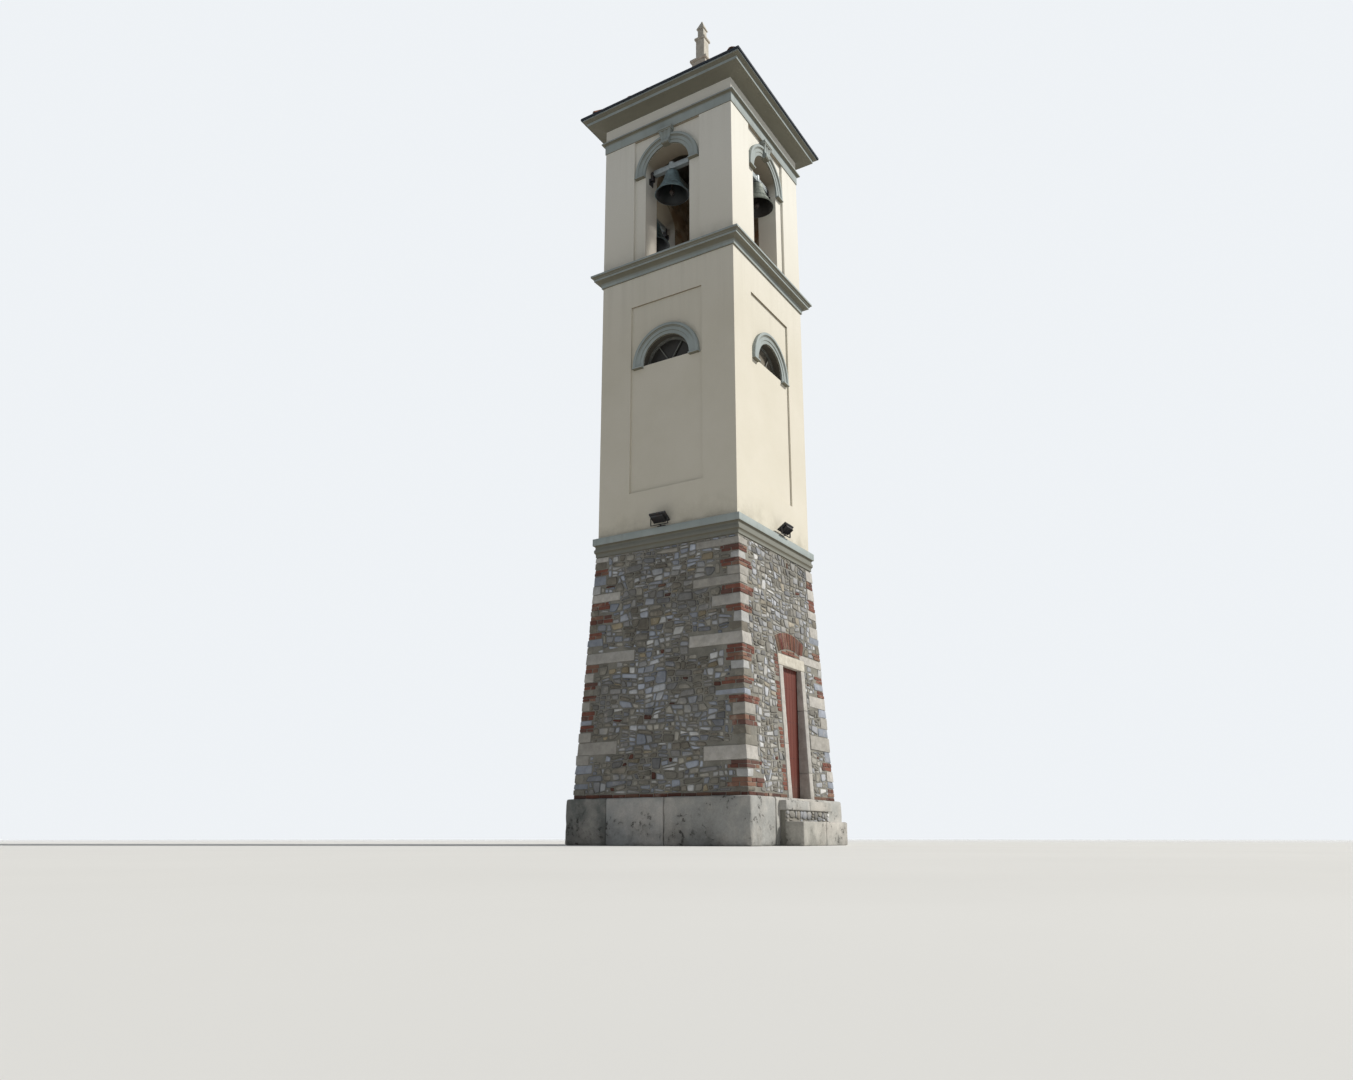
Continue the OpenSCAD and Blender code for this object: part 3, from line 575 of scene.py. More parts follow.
# Low and high edge, kind, length on the side where the corner is at the right, and on the other
NEAR_CORNER = [
    (4.76, 4.87, P, 0.78, 0.30), (4.64, 4.75, B, 0.32, 0.30), (4.52, 4.63, S, 0.24, 0.30),
    (4.39, 4.51, B, 0.33, 0.42), (4.24, 4.38, P, 0.22, 0.30), (4.09, 4.225, P, 0.86, 0.24),
    (3.92, 4.07, B, 0.33, 0.45), (3.745, 3.91, P, 0.52, 0.26), (3.62, 3.735, B, 0.28, 0.34),
    (3.45, 3.61, S, 0.22, 0.34), (3.29, 3.44, S, 0.36, 0.26), (3.09, 3.28, P, 0.96, 0.30),
    (2.95, 3.08, B, 0.26, 0.42), (2.82, 2.94, B, 0.32, 0.30), (2.69, 2.81, S, 0.34, 0.26),
    (2.57, 2.68, S, 0.24, 0.36), (2.45, 2.56, B, 0.38, 0.32), (2.37, 2.44, S, 0.30, 0.22),
    (2.28, 2.36, G, 0.50, 0.22), (2.15, 2.27, B, 0.28, 0.46), (1.97, 2.14, P, 0.20, 0.34),
    (1.80, 1.96, B, 0.27, 0.36), (1.66, 1.79, S, 0.34, 0.24), (1.50, 1.65, S, 0.26, 0.52),
    (1.28, 1.49, P, 0.74, 0.36), (1.15, 1.27, B, 0.32, 0.45), (1.02, 1.14, S, 0.30, 0.26),
    (0.87, 1.01, B, 0.32, 0.52), (0.81, 0.86, S, 0.36, 0.30)]
LEFT_CORNER = [
    (4.83, 4.91, P, 0.3, 0.26), (4.70, 4.82, S, 0.3, 0.34), (4.58, 4.69, B, 0.3, 0.28),
    (4.40, 4.57, G, 0.3, 0.25), (4.24, 4.39, S, 0.3, 0.22), (4.09, 4.23, P, 0.4, 0.58),
    (3.95, 4.08, B, 0.3, 0.34), (3.86, 3.94, S, 0.3, 0.22), (3.70, 3.85, B, 0.3, 0.46),
    (3.56, 3.69, S, 0.3, 0.20), (3.44, 3.55, B, 0.3, 0.24), (3.31, 3.43, G, 0.3, 0.30),
    (3.19, 3.30, S, 0.3, 0.16), (3.00, 3.18, P, 0.5, 0.98), (2.85, 2.99, B, 0.3, 0.27),
    (2.69, 2.84, P, 0.3, 0.18), (2.56, 2.68, B, 0.3, 0.27), (2.47, 2.55, S, 0.3, 0.30),
    (2.36, 2.46, B, 0.3, 0.24), (2.20, 2.35, P, 0.3, 0.15), (2.04, 2.19, B, 0.3, 0.27),
    (1.96, 2.03, G, 0.3, 0.22), (1.84, 1.95, B, 0.3, 0.27), (1.67, 1.83, P, 0.3, 0.24),
    (1.46, 1.66, P, 0.4, 0.78), (1.29, 1.45, P, 0.3, 0.24), (1.15, 1.28, G, 0.3, 0.32),
    (1.00, 1.14, S, 0.3, 0.22), (0.90, 0.99, G, 0.3, 0.26), (0.81, 0.89, S, 0.3, 0.30)]
QUOIN_FOOT, BED_JOINT, LOWEST_COURSE = 0.81, 0.01, 0.07


def drawn_corner(seed, fixed=()):
    """Quoins from the foot up, in the manner of the two that show."""
    rng = random.Random(seed)
    z, courses, last = QUOIN_FOOT, [], S
    for low, high, kind, ahead, behind in [*fixed, (BASE_TOP - 0.02, 9, None, 0, 0)]:
        while low - z > LOWEST_COURSE:
            own = rng.choice([k for k in (B, P, S, G, B) if k != last])
            heights = {B: rng.choice((0.12, 0.14, 0.2)), P: rng.uniform(0.14, 0.2)}
            top = min(z + heights.get(own, rng.uniform(0.1, 0.15)), low - BED_JOINT)
            if low - BED_JOINT - top < LOWEST_COURSE:
                top = low - BED_JOINT
            is_long = own == P and rng.random() < 0.6
            spans = [rng.uniform(0.6, 0.95) if is_long else rng.uniform(0.2, 0.42),
                     rng.uniform(0.22, 0.4)]
            rng.shuffle(spans)
            courses.append((z, top, own, *spans))
            z, last = top + BED_JOINT, own
        if kind:
            courses.append((low, high, kind, ahead, behind))
            z, last = high + BED_JOINT, kind
    return courses


def with_short_stones(courses):
    return [(low, high, kind, ahead * 0.6, behind * 0.7) if kind == S
            else (low, high, kind, ahead, behind) for low, high, kind, ahead, behind in courses]


CORNERS = {FRONT: drawn_corner(31, [(1.60, 1.84, P, 0.80, 0.4)]), WIDE: NEAR_CORNER,
           BACK: LEFT_CORNER, RIGHT: drawn_corner(57)}
CORNERS = {corner: with_short_stones(courses) for corner, courses in CORNERS.items()}
print(sum(len(courses) for courses in CORNERS.values()), "courses at the corners")

# %% Laying the corners
def add_block(shape, side, levels, ring_at, tint, rng, rough):
    """A block between two heights, with every point moved a little."""
    points = [turned(side, x, y, z) for z in levels for x, y in ring_at(z)]
    points = [tuple(c + rng.uniform(-rough, rough) for c in p) for p in points]
    shape.add(points, SIX_SIDES, tint)


def corner_block(shape, corner, low, high, ahead, behind, proud, tint, rng, rough=0.006):
    """A block that holds the corner between a side and the one before it."""
    back = batter((low + high) / 2)

    def ring_at(z):
        out = batter(z) + proud
        left, rear = back - ahead, behind - back
        return [(left, -out), (out, -out), (out, rear), (left, rear)]

    add_block(shape, corner, (low, high), ring_at, tint, rng, rough)


def wall_block(shape, side, left, right, low, high, proud, tint, rng):
    """A block let into one side, with its face proud of the wall."""
    def ring_at(z):
        front = -(batter(z) + proud)
        back = front + 0.06
        return [(left, front), (right, front), (right, back), (left, back)]

    add_block(shape, side, (low, high), ring_at, tint, rng, 0.004)


def brick_row(shape, side, left, right, low, high, rng, from_right=False, dull=1.0):
    """Bricks laid end to end between two places on a side."""
    joint = 0.008
    ends = [left]
    while right - ends[-1] > 0.02:
        step = rng.choice((0.275, 0.135, 0.26)) * rng.uniform(0.94, 1.04)
        ends.append(min(ends[-1] + step, right))
    if from_right:
        ends = [left + right - e for e in reversed(ends)]
    for a, b in zip(ends, ends[1:]):
        if b - a > 0.04:
            tint = tinged(rng.choice(BRICKS), dull)
            wall_block(shape, side, a + joint / 2, b - joint / 2, low, high,
                       rng.uniform(0.003, 0.013), tint, rng)


def brick_stack(corner, low, high, ahead, behind, rng):
    """Courses of brick that hold a corner and run out ragged on both of its sides."""
    edge = batter((low + high) / 2)
    rows = max(1, round((high - low) / 0.064))
    for row in range(rows):
        z0 = low + (high - low) * row / rows + 0.003
        z1 = low + (high - low) * (row + 1) / rows - 0.003
        here, there = ((0.27, 0.13), (0.13, 0.27))[(row + corner) % 2]
        corner_block(brick_shape, corner, z0, z1, here, there, rng.uniform(0.004, 0.012),
                     rng.choice(BRICKS), rng, 0.004)
        ragged = rng.uniform(-0.05, 0.05)
        brick_row(brick_shape, corner, edge - ahead + ragged, edge - here - 0.01, z0, z1, rng, True)
        brick_row(brick_shape, (corner - 1) % 4, -edge + there + 0.01, -edge + behind + ragged,
                  z0, z1, rng)


pale_shape, brick_shape, quoin_shape = Shape(), Shape(), Shape()
rng = random.Random(12)
for corner, courses in CORNERS.items():
    for low, high, kind, ahead, behind in courses:
        if kind == B:
            brick_stack(corner, low, high, ahead, behind, rng)
        elif kind == P:
            corner_block(pale_shape, corner, low, high, ahead, behind,
                         rng.uniform(0.010, 0.018), rng.choice(PALE), rng)
        else:
            tint = STONES[rng.choice((0, 1))] if kind == G else rng.choice(STONES[3:7])
            corner_block(quoin_shape, corner, low, high, ahead, behind,
                         rng.uniform(0.006, 0.016), tint, rng, 0.010)
print(len(pale_shape.faces) // 6, "pale blocks", len(brick_shape.faces) // 6, "bricks so far")

# %% [markdown]
# ### Brickwork in the wall
# A single course of brick lies on the plinth all round, and beside the left jamb the wall was
# made good with short brick stacks. They are laid with the same row function.

# %% Brick courses
DOOR_X, DOOR_HALF, JAMB_W = 0.25, 0.36, 0.14
GAP_HALF = DOOR_HALF + JAMB_W
GAP_LEFT, GAP_RIGHT = DOOR_X - GAP_HALF, DOOR_X + GAP_HALF
edge = batter(0.775)
for side in (FRONT, WIDE, BACK, RIGHT):
    by_door = [(-edge, GAP_LEFT - 0.01), (GAP_RIGHT + 0.01, edge)]
    for left, right in by_door if side == FRONT else [(-edge, edge)]:
        brick_row(brick_shape, side, left, right, 0.744, 0.795, rng, dull=0.7)
for half, low, high in ((0.35, 3.138, 3.184), (0.165, 3.190, 3.224)):
    brick_row(brick_shape, FRONT, DOOR_X - half, DOOR_X + half, low, high, rng)
STACKS, STACK_WIDTHS = [(0.86, 1.28), (1.54, 1.88), (2.13, 2.64), (2.72, 3.10)], (0.13, 0.16, 0.12)
for low, high in STACKS:
    rows = round((high - low) / 0.066)
    for row in range(rows):
        z0, z1 = (low + (high - low) * (row + t) / rows for t in (0.06, 0.94))
        right = GAP_LEFT - 0.012
        wall_block(brick_shape, FRONT, right - STACK_WIDTHS[row % 3], right, z0, z1,
                   rng.uniform(0.002, 0.010), rng.choice(BRICKS), rng)
print(len(brick_shape.faces) // 6, "bricks in the base")

# %% [markdown]
# ### Rubble
# Rubble has no courses that a grid could give, yet it isn't random either: the mason worked in
# lifts, laid stones flat on their beds and filled what was left with smaller ones. The pattern is
# made in the same way. Each lift is parted into blocks, and a block is cut again and again, across
# when it is long and level when it is tall, until it is as small as the stone drawn for it. A slow
# drift bends the beds. Cells are then cut back at the quoins, the doorway and the arch, shrunk by
# half a joint, rounded a little, and raised as low cushions with a nearly flat face.

# %% Cutting cells
def edges(outline):
    return zip(outline, outline[1:] + outline[:1])


def cut(outline, a, b, c):
    """What a convex outline keeps where a * x + b * y <= c."""
    kept = []
    for (x0, y0), (x1, y1) in edges(outline):
        d0, d1 = a * x0 + b * y0 - c, a * x1 + b * y1 - c
        if d0 <= 0:
            kept.append((x0, y0))
        if (d0 < 0 < d1) or (d1 < 0 < d0):
            t = d0 / (d0 - d1)
            kept.append((x0 + (x1 - x0) * t, y0 + (y1 - y0) * t))
    return kept


def area(outline):
    return sum(x0 * y1 - x1 * y0 for (x0, y0), (x1, y1) in edges(outline)) / 2


def shrunk(outline, gap):
    """A convex outline with every edge moved in by a gap, or nothing where none is left."""
    kept = outline
    for (x0, y0), (x1, y1) in edges(outline):
        length = math.hypot(x1 - x0, y1 - y0)
        if length > 1e-6:
            a, b = (y1 - y0) / length, -(x1 - x0) / length
            kept = cut(kept, a, b, a * x0 + b * y0 - gap)
            if len(kept) < 3:
                return []
    return kept


def rounded(outline, share=0.25):
    """One round of corner cutting."""
    soft = []
    for (x0, y0), (x1, y1) in edges(outline):
        dx, dy = (x1 - x0) * share, (y1 - y0) * share
        soft += [(x0 + dx, y0 + dy), (x1 - dx, y1 - dy)]
    return soft


def split(cell, rng):
    """A cell, or the two parts of it cut further, until they are single stones."""
    xs, ys = [p[0] for p in cell], [p[1] for p in cell]
    wide, tall = max(xs) - min(xs), max(ys) - min(ys)
    if area(cell) < 0.019 * 2 ** rng.uniform(-1.5, 1.4) or (tall < 0.06 and wide < 0.24):
        return [cell]
    share = rng.uniform(0.3, 0.7)
    if wide > tall * rng.uniform(1.1, 2.5) or tall < 0.07:
        a, b = 1.0, rng.uniform(-0.5, 0.5)
    else:
        a, b = rng.uniform(-0.2, 0.2), 1.0
    at = (a * (min(xs) + wide * (share if a == 1 else 0.5))
          + b * (min(ys) + tall * (share if b == 1 else 0.5)))
    parts = [cut(cell, a, b, at), cut(cell, -a, -b, -at)]
    if any(len(part) < 3 or area(part) < 0.0012 for part in parts):
        return [cell]
    return [stone for part in parts for stone in split(part, rng)]


def rubble_cells(half, low, high, rng):
    """Flat-bedded cells between two heights, with beds that drift up and down."""
    cells, z = [], low - 0.06
    drift = rng.uniform(0, 50)
    while z < high:
        lift = rng.uniform(0.20, 0.38)
        x = -half - rng.uniform(0, 0.4)
        while x < half:
            step = rng.uniform(0.28, 0.70)
            cells += split([(x, z), (x + step, z), (x + step, z + lift), (x, z + lift)], rng)
            x += step
        z += lift
    return [[(x + 0.035 * noise.noise((x * 2.1, y * 2.1, drift)),
              y + 0.050 * noise.noise((x * 1.6, y * 1.6, drift + 9))) for x, y in cell]
            for cell in cells]


print("cell functions ready")

# %% [markdown]
# The cells of one side are now fitted round what is already there, and each becomes a stone of
# four rings and a middle. Low stones lie nearly flush in their mortar and large ones stand out
# further, which gives the wall its shadows.

# %% Rubble stones
ARCH_R, ARCH_RING, ARCH_Z = 1.1545, 0.29, 2.0855
ARCH_ANGLE = math.asin(0.47 / ARCH_R)
WALL_GAP, SMALLEST_STONE = 0.0085, 0.0009
POINTING = srgb(126, 123, 115)
STONE_WEIGHTS = (11, 9, 8, 4, 9, 9, 7, 3, 9, 7)


def cut_at_door(cell):
    """A cell of the front, cut back at the jambs, the brick stacks beside them and the arch."""
    x, y = centre(cell)
    beside = x - DOOR_X
    if y < 3.13:
        by_stack = beside < 0 and any(low - 0.04 < y < high + 0.04 for low, high in STACKS)
        width = GAP_HALF + (0.172 if by_stack else 0.0)
        sign = 1 if beside > 0 else -1
        cell = cut(cell, -sign, 0, -sign * DOOR_X - width - 0.004)
    angle, reach = math.atan2(beside, y - ARCH_Z), math.hypot(beside, y - ARCH_Z)
    if abs(angle) >= ARCH_ANGLE + 0.12 or y <= 2.9:
        return cell
    if abs(angle) < ARCH_ANGLE:
        if reach < ARCH_R + ARCH_RING * 0.5:
            return []
        a, b, rim = -math.sin(angle), -math.cos(angle), ARCH_R + ARCH_RING
    else:
        sign = 1 if angle > 0 else -1
        a, b, rim = -math.cos(ARCH_ANGLE) * sign, math.sin(ARCH_ANGLE), 0.0
    return cut(cell, a, b, a * DOOR_X + b * ARCH_Z - rim - 0.002)


def fit_stone(cell, side):
    """A cell cut back at the wall's ends, the quoins and the doorway."""
    edge = FOOT_HALF + TAPER * PLINTH_H - 0.02
    for a, b, c in ((1, TAPER, edge), (-1, TAPER, edge), (0, -1, -0.805), (0, 1, BASE_TOP - 0.004)):
        cell = cut(cell, a, b, c)
    for corner, sign in ((side, 1), ((side + 1) % 4, -1)):
        for low, high, kind, ahead, behind in CORNERS[corner]:
            ys = [y for x, y in cell]
            if len(cell) < 3 or min(ys) > high - 0.012 or max(ys) < low + 0.012:
                continue
            length = (ahead if sign > 0 else behind) + 0.008
            cell = cut(cell, sign, 0, batter((low + high) / 2) - length)
    if side == FRONT and len(cell) >= 3:
        cell = cut_at_door(cell)
    return cell if len(cell) >= 3 else []


def chipped(outline, rng):
    """An outline with one or two of its corners knocked off."""
    for _ in range(rng.choice((0, 1, 1, 2))):
        angle = rng.uniform(0, 2 * math.pi)
        a, b = math.cos(angle), math.sin(angle)
        reach = [a * x + b * y for x, y in outline]
        keep = max(reach) - rng.uniform(0.04, 0.2) * (max(reach) - min(reach))
        part = cut(outline, a, b, keep)
        outline = part if len(part) >= 3 else outline
    return outline


def add_stone(shape, side, outline, tint, rng):
    """A low cushion over an outline: rings that rise from the mortar, painted darker at their foot
    as painted shade in the joint.
    """
    size = math.sqrt(area(outline))
    ring = rounded(outline, rng.uniform(0.08, 0.17))
    n, (cx, cy) = len(ring), centre(ring)
    proud = rng.uniform(0.003, 0.009) + 0.04 * min(size, 0.2)
    if max(p[1] for p in ring) > 4.8:
        proud = min(proud, 0.014)
    lean_x, lean_y = rng.uniform(-0.03, 0.03), rng.uniform(-0.03, 0.03)
    drift = rng.uniform(0, 100)
    rings = ((1.0, -0.012, 0.0), (0.985, proud - 0.007, 0.001),
             (1 - 0.013 / (size / 2 + 0.01), proud, 0.002), (0.5, proud + 0.003, 0.0035))
    points = []
    for scale, out, uneven in rings:
        for x, y in ring:
            px, py = cx + (x - cx) * scale, cy + (y - cy) * scale
            wobble = noise.noise((px * 14, py * 14, drift)) * 2 * uneven
            px += noise.noise((px * 9, py * 9, drift + 7)) * 0.006
            py += noise.noise((px * 9, py * 9, drift + 19)) * 0.006
            leaning = ((px - cx) * lean_x + (py - cy) * lean_y) if out > 0 else 0
            points.append(on_base(side, px, py, out + wobble + leaning))
    points.append(on_base(side, cx, cy, proud + 0.004))
    # The flank and shoulder rings are painted darker: painted shade in the joint round each stone.
    flank_shade = [0.35] * n + [0.62] * n + [1.0] * (2 * n)
    shape.add(points, dome_faces(4, n), [tinged(tint, shade) for shade in flank_shade])


def stone_tint(cell, side, rng):
    """A stone's colour, bluer on the wide side as painted shade, which pales towards the pointing
    where the wall is smeared with it.
    """
    x, y = centre(cell)
    if rng.random() < 0.02 and area(cell) < 0.012:
        return tinged(rng.choice(BRICKS), 0.7)
    base = rng.choices(STONES, STONE_WEIGHTS)[0]
    light = rng.uniform(0.72, 1.58)
    smear = 0.10 + 1.0 * noise.noise((x * 1.1, y * 1.1, side * 9)) + rng.uniform(-0.3, 0.3)
    smear = min(max(smear, 0), 0.8)
    grey = sum(base) / 3
    # The blue of the stones is kept on the wide side only, as painted cool shade; elsewhere it is
    # greyed.
    base = tuple(c + (grey - c) * (0.0 if side == WIDE else 0.45) for c in base)
    return tuple(min(c * light, 0.9) * (1 - smear) + p * 0.85 * smear
                 for c, p in zip(base, POINTING))


for side, label in enumerate(("front", "wide", "back", "right")):
    rng = random.Random(400 + side)
    stones, count = Shape(), 0
    for cell in rubble_cells(FOOT_HALF, 0.8, BASE_TOP, rng):
        tint = stone_tint(cell, side, rng)
        outline = fit_stone(cell, side)
        outline = shrunk(outline, rng.uniform(0.4, 1.3) * WALL_GAP) if outline else []
        outline = chipped(outline, rng) if outline else []
        if len(outline) >= 3 and area(outline) > SMALLEST_STONE:
            add_stone(stones, side, outline, tint, rng)
            count += 1
    stones.piece("rubble_" + label, RUBBLE, slot="rubble", smooth=50, outward=False)
    print(count, "stones on side", label)
pale_shape.piece("pale_quoins", PALE_BLOCK, slot="pale_stone", bevel=0.009, segments=2)
quoin_shape.piece("stone_quoins", RUBBLE, slot="rubble", bevel=0.013, segments=2)
brick_shape.piece("base_bricks", BRICK, slot="brick", bevel=0.006)

# %% [markdown]
# ## Nodes that keep their shape
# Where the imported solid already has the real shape, it only needs its finish.

# %% Finishes of the CAD nodes
def paint(material, *names):
    for name in names:
        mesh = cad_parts[name].data
        mesh.materials.clear()
        mesh.materials.append(material)


SIDES = ("front", "left", "right", "back")
paint(MORTAR, "base_wall_over_door", "landing_base",
      *("base_wall_" + s for s in ("front_left", "front_right", "left", "right", "back")))
paint(PLASTER, "frieze", *(wall + s for wall in ("shaft_wall_", "belfry_wall_") for s in SIDES))
paint(TRIM, "base_cornice", "string_course", "architrave", "top_cornice", "lunette_surrounds",
      "belfry_archivolts", "keystones")
print("nodes painted")

# %% [markdown]
# ## Dressed stone
# The plinth, the steps, the jambs and the lintel are single dressed stones with worn edges. A
# block is made as a grid over a box whose points are pushed out from a smaller box inside it:
# that rounds every edge, and a little noise in the push wears and chips it.

# %% Worn blocks
def ticks(low, high, radius, cell):
    """Grid lines over one side of a block, close together where its edge is round."""
    flat = high - low - 2 * radius
    count = max(1, round(flat / cell))
    inner = [low + radius + flat * i / count for i in range(count + 1)]
    return [low, low + radius * 0.35] + inner + [high - radius * 0.35, high]


def as_drawn(x, y, z):
    return (x, y, z)


def worn_block(shape, low, high, radius=0.02, cell=0.09, wear=0.003, place=as_drawn, chips=0.5,
               tint=WHITE):
    """A block between two corners with worn round edges, carried to its place by a function."""
    radii = radius if isinstance(radius, tuple) else (radius, radius, radius)
    axes = [ticks(low[i], high[i], radii[i], cell) for i in range(3)]
    known, points, faces = {}, [], []

    def corner(key):
        if key not in known:
            p = [axes[i][key[i]] for i in range(3)]
            q = [min(max(p[i], low[i] + radii[i]), high[i] - radii[i]) for i in range(3)]
            push = Vector([(p[i] - q[i]) / radii[i] for i in range(3)])
            here = Vector(p)
            size = 1 + noise.noise(here * 5 + Vector((3, 7, 1))) * wear / max(radii)
            if sum(abs(part) > 0.3 for part in push) > 1:
                size -= max(0.0, noise.noise(here * 9 + Vector((9, 2, 5)))) * chips
            push = push.normalized() * size
            known[key] = len(points)
            points.append(place(*(q[i] + push[i] * radii[i] for i in range(3))))
        return known[key]

    for axis in range(3):
        a, b = [i for i in range(3) if i != axis]
        for end in (0, len(axes[axis]) - 1):
            for i in range(len(axes[a]) - 1):
                for j in range(len(axes[b]) - 1):
                    loop = []
                    for di, dj in ((0, 0), (1, 0), (1, 1), (0, 1)):
                        key = [0, 0, 0]
                        key[axis], key[a], key[b] = end, i + di, j + dj
                        loop.append(corner(tuple(key)))
                    faces.append(loop)
    shape.add(points, faces, tint)


print("block function ready")

# %% Plinth
PLINTH_BACK = -0.90
SLAB_JOINTS = {WIDE: [0.19], FRONT: [-0.10, 0.94], BACK: [-0.20, 0.70], RIGHT: [-0.30, 0.55]}
plinth = Shape()
rng = random.Random(5)
for side, joints in SLAB_JOINTS.items():
    ends = [PLINTH_BACK] + joints + [PLINTH_HALF]
    for n, (left, right) in enumerate(zip(ends, ends[1:])):
        tint = tinged(srgb(180, 181, 178), rng.uniform(0.85, 1.0))
        holds_corner = n == len(joints)
        if side == WIDE:
            tint = (srgb(176, 178, 178), srgb(166, 167, 165))[n]
        elif side == BACK and holds_corner:
            tint = srgb(124, 127, 125)
        right -= 0 if holds_corner else 0.001
        worn_block(plinth, (left + 0.001, -PLINTH_HALF - rng.uniform(-0.004, 0.0), 0.0),
                   (right, PLINTH_BACK, PLINTH_H), (0.042 if holds_corner else 0.007, 0.036, 0.036),
                   0.06, 0.006, turner(side), tint=tint)
plinth.piece("plinth_slabs", PLINTH_STONE, nodes=["plinth"], slot="pale_stone")


# %% Landing, steps
def paired_slabs(name, node, joint, gaps, back, radius, wear, tints):
    """Two slabs side by side in a node's box, on each side of a joint."""
    (x0, y0, z0), (x1, y1, z1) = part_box(node)
    slabs = Shape()
    for left, right, tint in ((x0, joint - gaps[0], tints[0]), (joint + gaps[1], x1, tints[1])):
        worn_block(slabs, (left, y0, z0), (right, y1 + back, z1), radius, 0.08, wear, tint=tint)
    slabs.piece(name, PLINTH_STONE, nodes=[node], slot="pale_stone")


paired_slabs("landing_stones", "landing_slab", 0.08, (0.0, 0.004), 0.03, 0.02, 0.004,
             (srgb(176, 177, 175), srgb(168, 168, 164)))
paired_slabs("lower_step_stones", "lower_step", centre(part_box("lower_step"))[0], (0.003, 0.003),
             0.0, 0.024, 0.005, (srgb(170, 169, 163), srgb(179, 178, 173)))

# %% [markdown]
# The wall under the landing is rubble too, laid with the same cells as the four sides.

# %% Rubble under the landing
RISER_RINGS = ((1, -0.01), (0.97, 0.012), (0.85, 0.02))
(riser_left, riser_y, riser_foot), (riser_right, _, riser_top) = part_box("landing_base")
low_wall = Shape()
rng = random.Random(77)
for cell in rubble_cells(1.0, riser_foot, riser_top, rng):
    for a, b, c in ((1, 0, riser_right), (-1, 0, -riser_left), (0, 1, riser_top),
                    (0, -1, -riser_foot - 0.01)):
        cell = cut(cell, a, b, c)
    outline = shrunk(cell, 0.006) if len(cell) >= 3 else []
    if len(outline) < 3 or area(outline) < SMALLEST_STONE:
        continue
    ring = rounded(outline)
    cx, cz = centre(ring)
    points = [(cx + (x - cx) * scale, riser_y - out, cz + (z - cz) * scale)
              for scale, out in RISER_RINGS for x, z in ring] + [(cx, riser_y - 0.022, cz)]
    low_wall.add(points, dome_faces(3, len(ring)), stone_tint(cell, FRONT, rng))
low_wall.piece("landing_rubble", RUBBLE, slot="rubble", smooth=50, outward=False)

# %% [markdown]
# ### Door surround
# The jambs are tall stones and the lintel is one block a little longer than the opening needs.
# They follow the batter, so their blocks are drawn flat and carried onto the sloping face.

# %% Jambs, lintel
LINTEL_Z, LINTEL_TOP, LEAF_FRONT = 2.93, 3.12, -1.44


def on_front_batter(x, depth, z):
    """A point at a depth behind the battered face, but never behind the plane of the door leaf."""
    return (x, min(-(batter(z) + 0.015) + depth, LEAF_FRONT - 0.006), z)


surround, head = Shape(), Shape()
for left, joints in ((GAP_LEFT, [1.62]), (DOOR_X + DOOR_HALF, [1.18, 2.24])):
    levels = [PLINTH_H] + joints + [LINTEL_Z]
    for low, high in zip(levels, levels[1:]):
        worn_block(surround, (left, 0.0, low + 0.002), (left + JAMB_W, 0.3, high - 0.002), 0.008,
                   0.07, 0.003, on_front_batter, tint=random.Random(int(low * 100)).choice(PALE))
surround.piece("door_jamb_stones", PALE_BLOCK, nodes=["door_jambs"], slot="pale_stone")
worn_block(head, (GAP_LEFT - 0.03, -0.004, LINTEL_Z), (GAP_RIGHT + 0.012, 0.3, LINTEL_TOP),
           0.012, 0.06, 0.004, on_front_batter, tint=srgb(208, 204, 194))
head.piece("door_lintel_stone", PALE_BLOCK, nodes=["door_lintel"], slot="pale_stone")

# %% [markdown]
# ## Repeating with Geometry Nodes
# The bricks of an arch, the tiles of a roof and the nails of a door are one small piece put down
# many times. One tree serves them all: it puts a piece on every point of a host mesh, turned as
# the point's own attribute says, shaken a little by a seeded draw, and then makes the copies real.

# %% The repeating tree
def repeat_tree():
    tree = bpy.data.node_groups.new("repeat_on_points", "GeometryNodeTree")
    sockets = {"Points": "Geometry", "Piece": "Object", "Shake": "Float", "Uneven Size": "Float",
               "Seed": "Int", "Finish": "Material"}
    for name, kind in sockets.items():
        tree.interface.new_socket(name, in_out="INPUT", socket_type="NodeSocket" + kind)
    tree.interface.new_socket("Pieces", in_out="OUTPUT", socket_type="NodeSocketGeometry")

    def add(kind, inputs=None, **settings):
        return add_node(tree, kind, inputs, **settings).outputs

    given = add("NodeGroupInput")
    piece = add("GeometryNodeObjectInfo", {"Object": given["Piece"]})
    own = add("GeometryNodeInputNamedAttribute", {"Name": "turn"}, data_type="FLOAT_VECTOR")
    least = add("ShaderNodeMath", {0: given["Shake"], 1: -1}, operation="MULTIPLY")
    shake = add("FunctionNodeRandomValue", {0: least[0], 1: given["Shake"], "Seed": given["Seed"]},
                data_type="FLOAT_VECTOR")
    total = add("ShaderNodeVectorMath", {0: own["Attribute"], 1: shake[0]})
    turn = add("FunctionNodeEulerToRotation", {0: total[0]})
    smallest = add("ShaderNodeMath", {0: 1, 1: given["Uneven Size"]}, operation="SUBTRACT")
    size = add("FunctionNodeRandomValue", {2: smallest[0], 3: 1.0, "Seed": given["Seed"]},
               data_type="FLOAT")
    put = add("GeometryNodeInstanceOnPoints", {
        "Points": given["Points"], "Instance": piece["Geometry"], "Rotation": turn[0],
        "Scale": size[1]})
    real = add("GeometryNodeRealizeInstances", {0: put[0]})
    dressed = add("GeometryNodeSetMaterial", {"Geometry": real[0], "Material": given["Finish"]})
    add("NodeGroupOutput", {0: dressed[0]})
    return tree


REPEAT = repeat_tree()


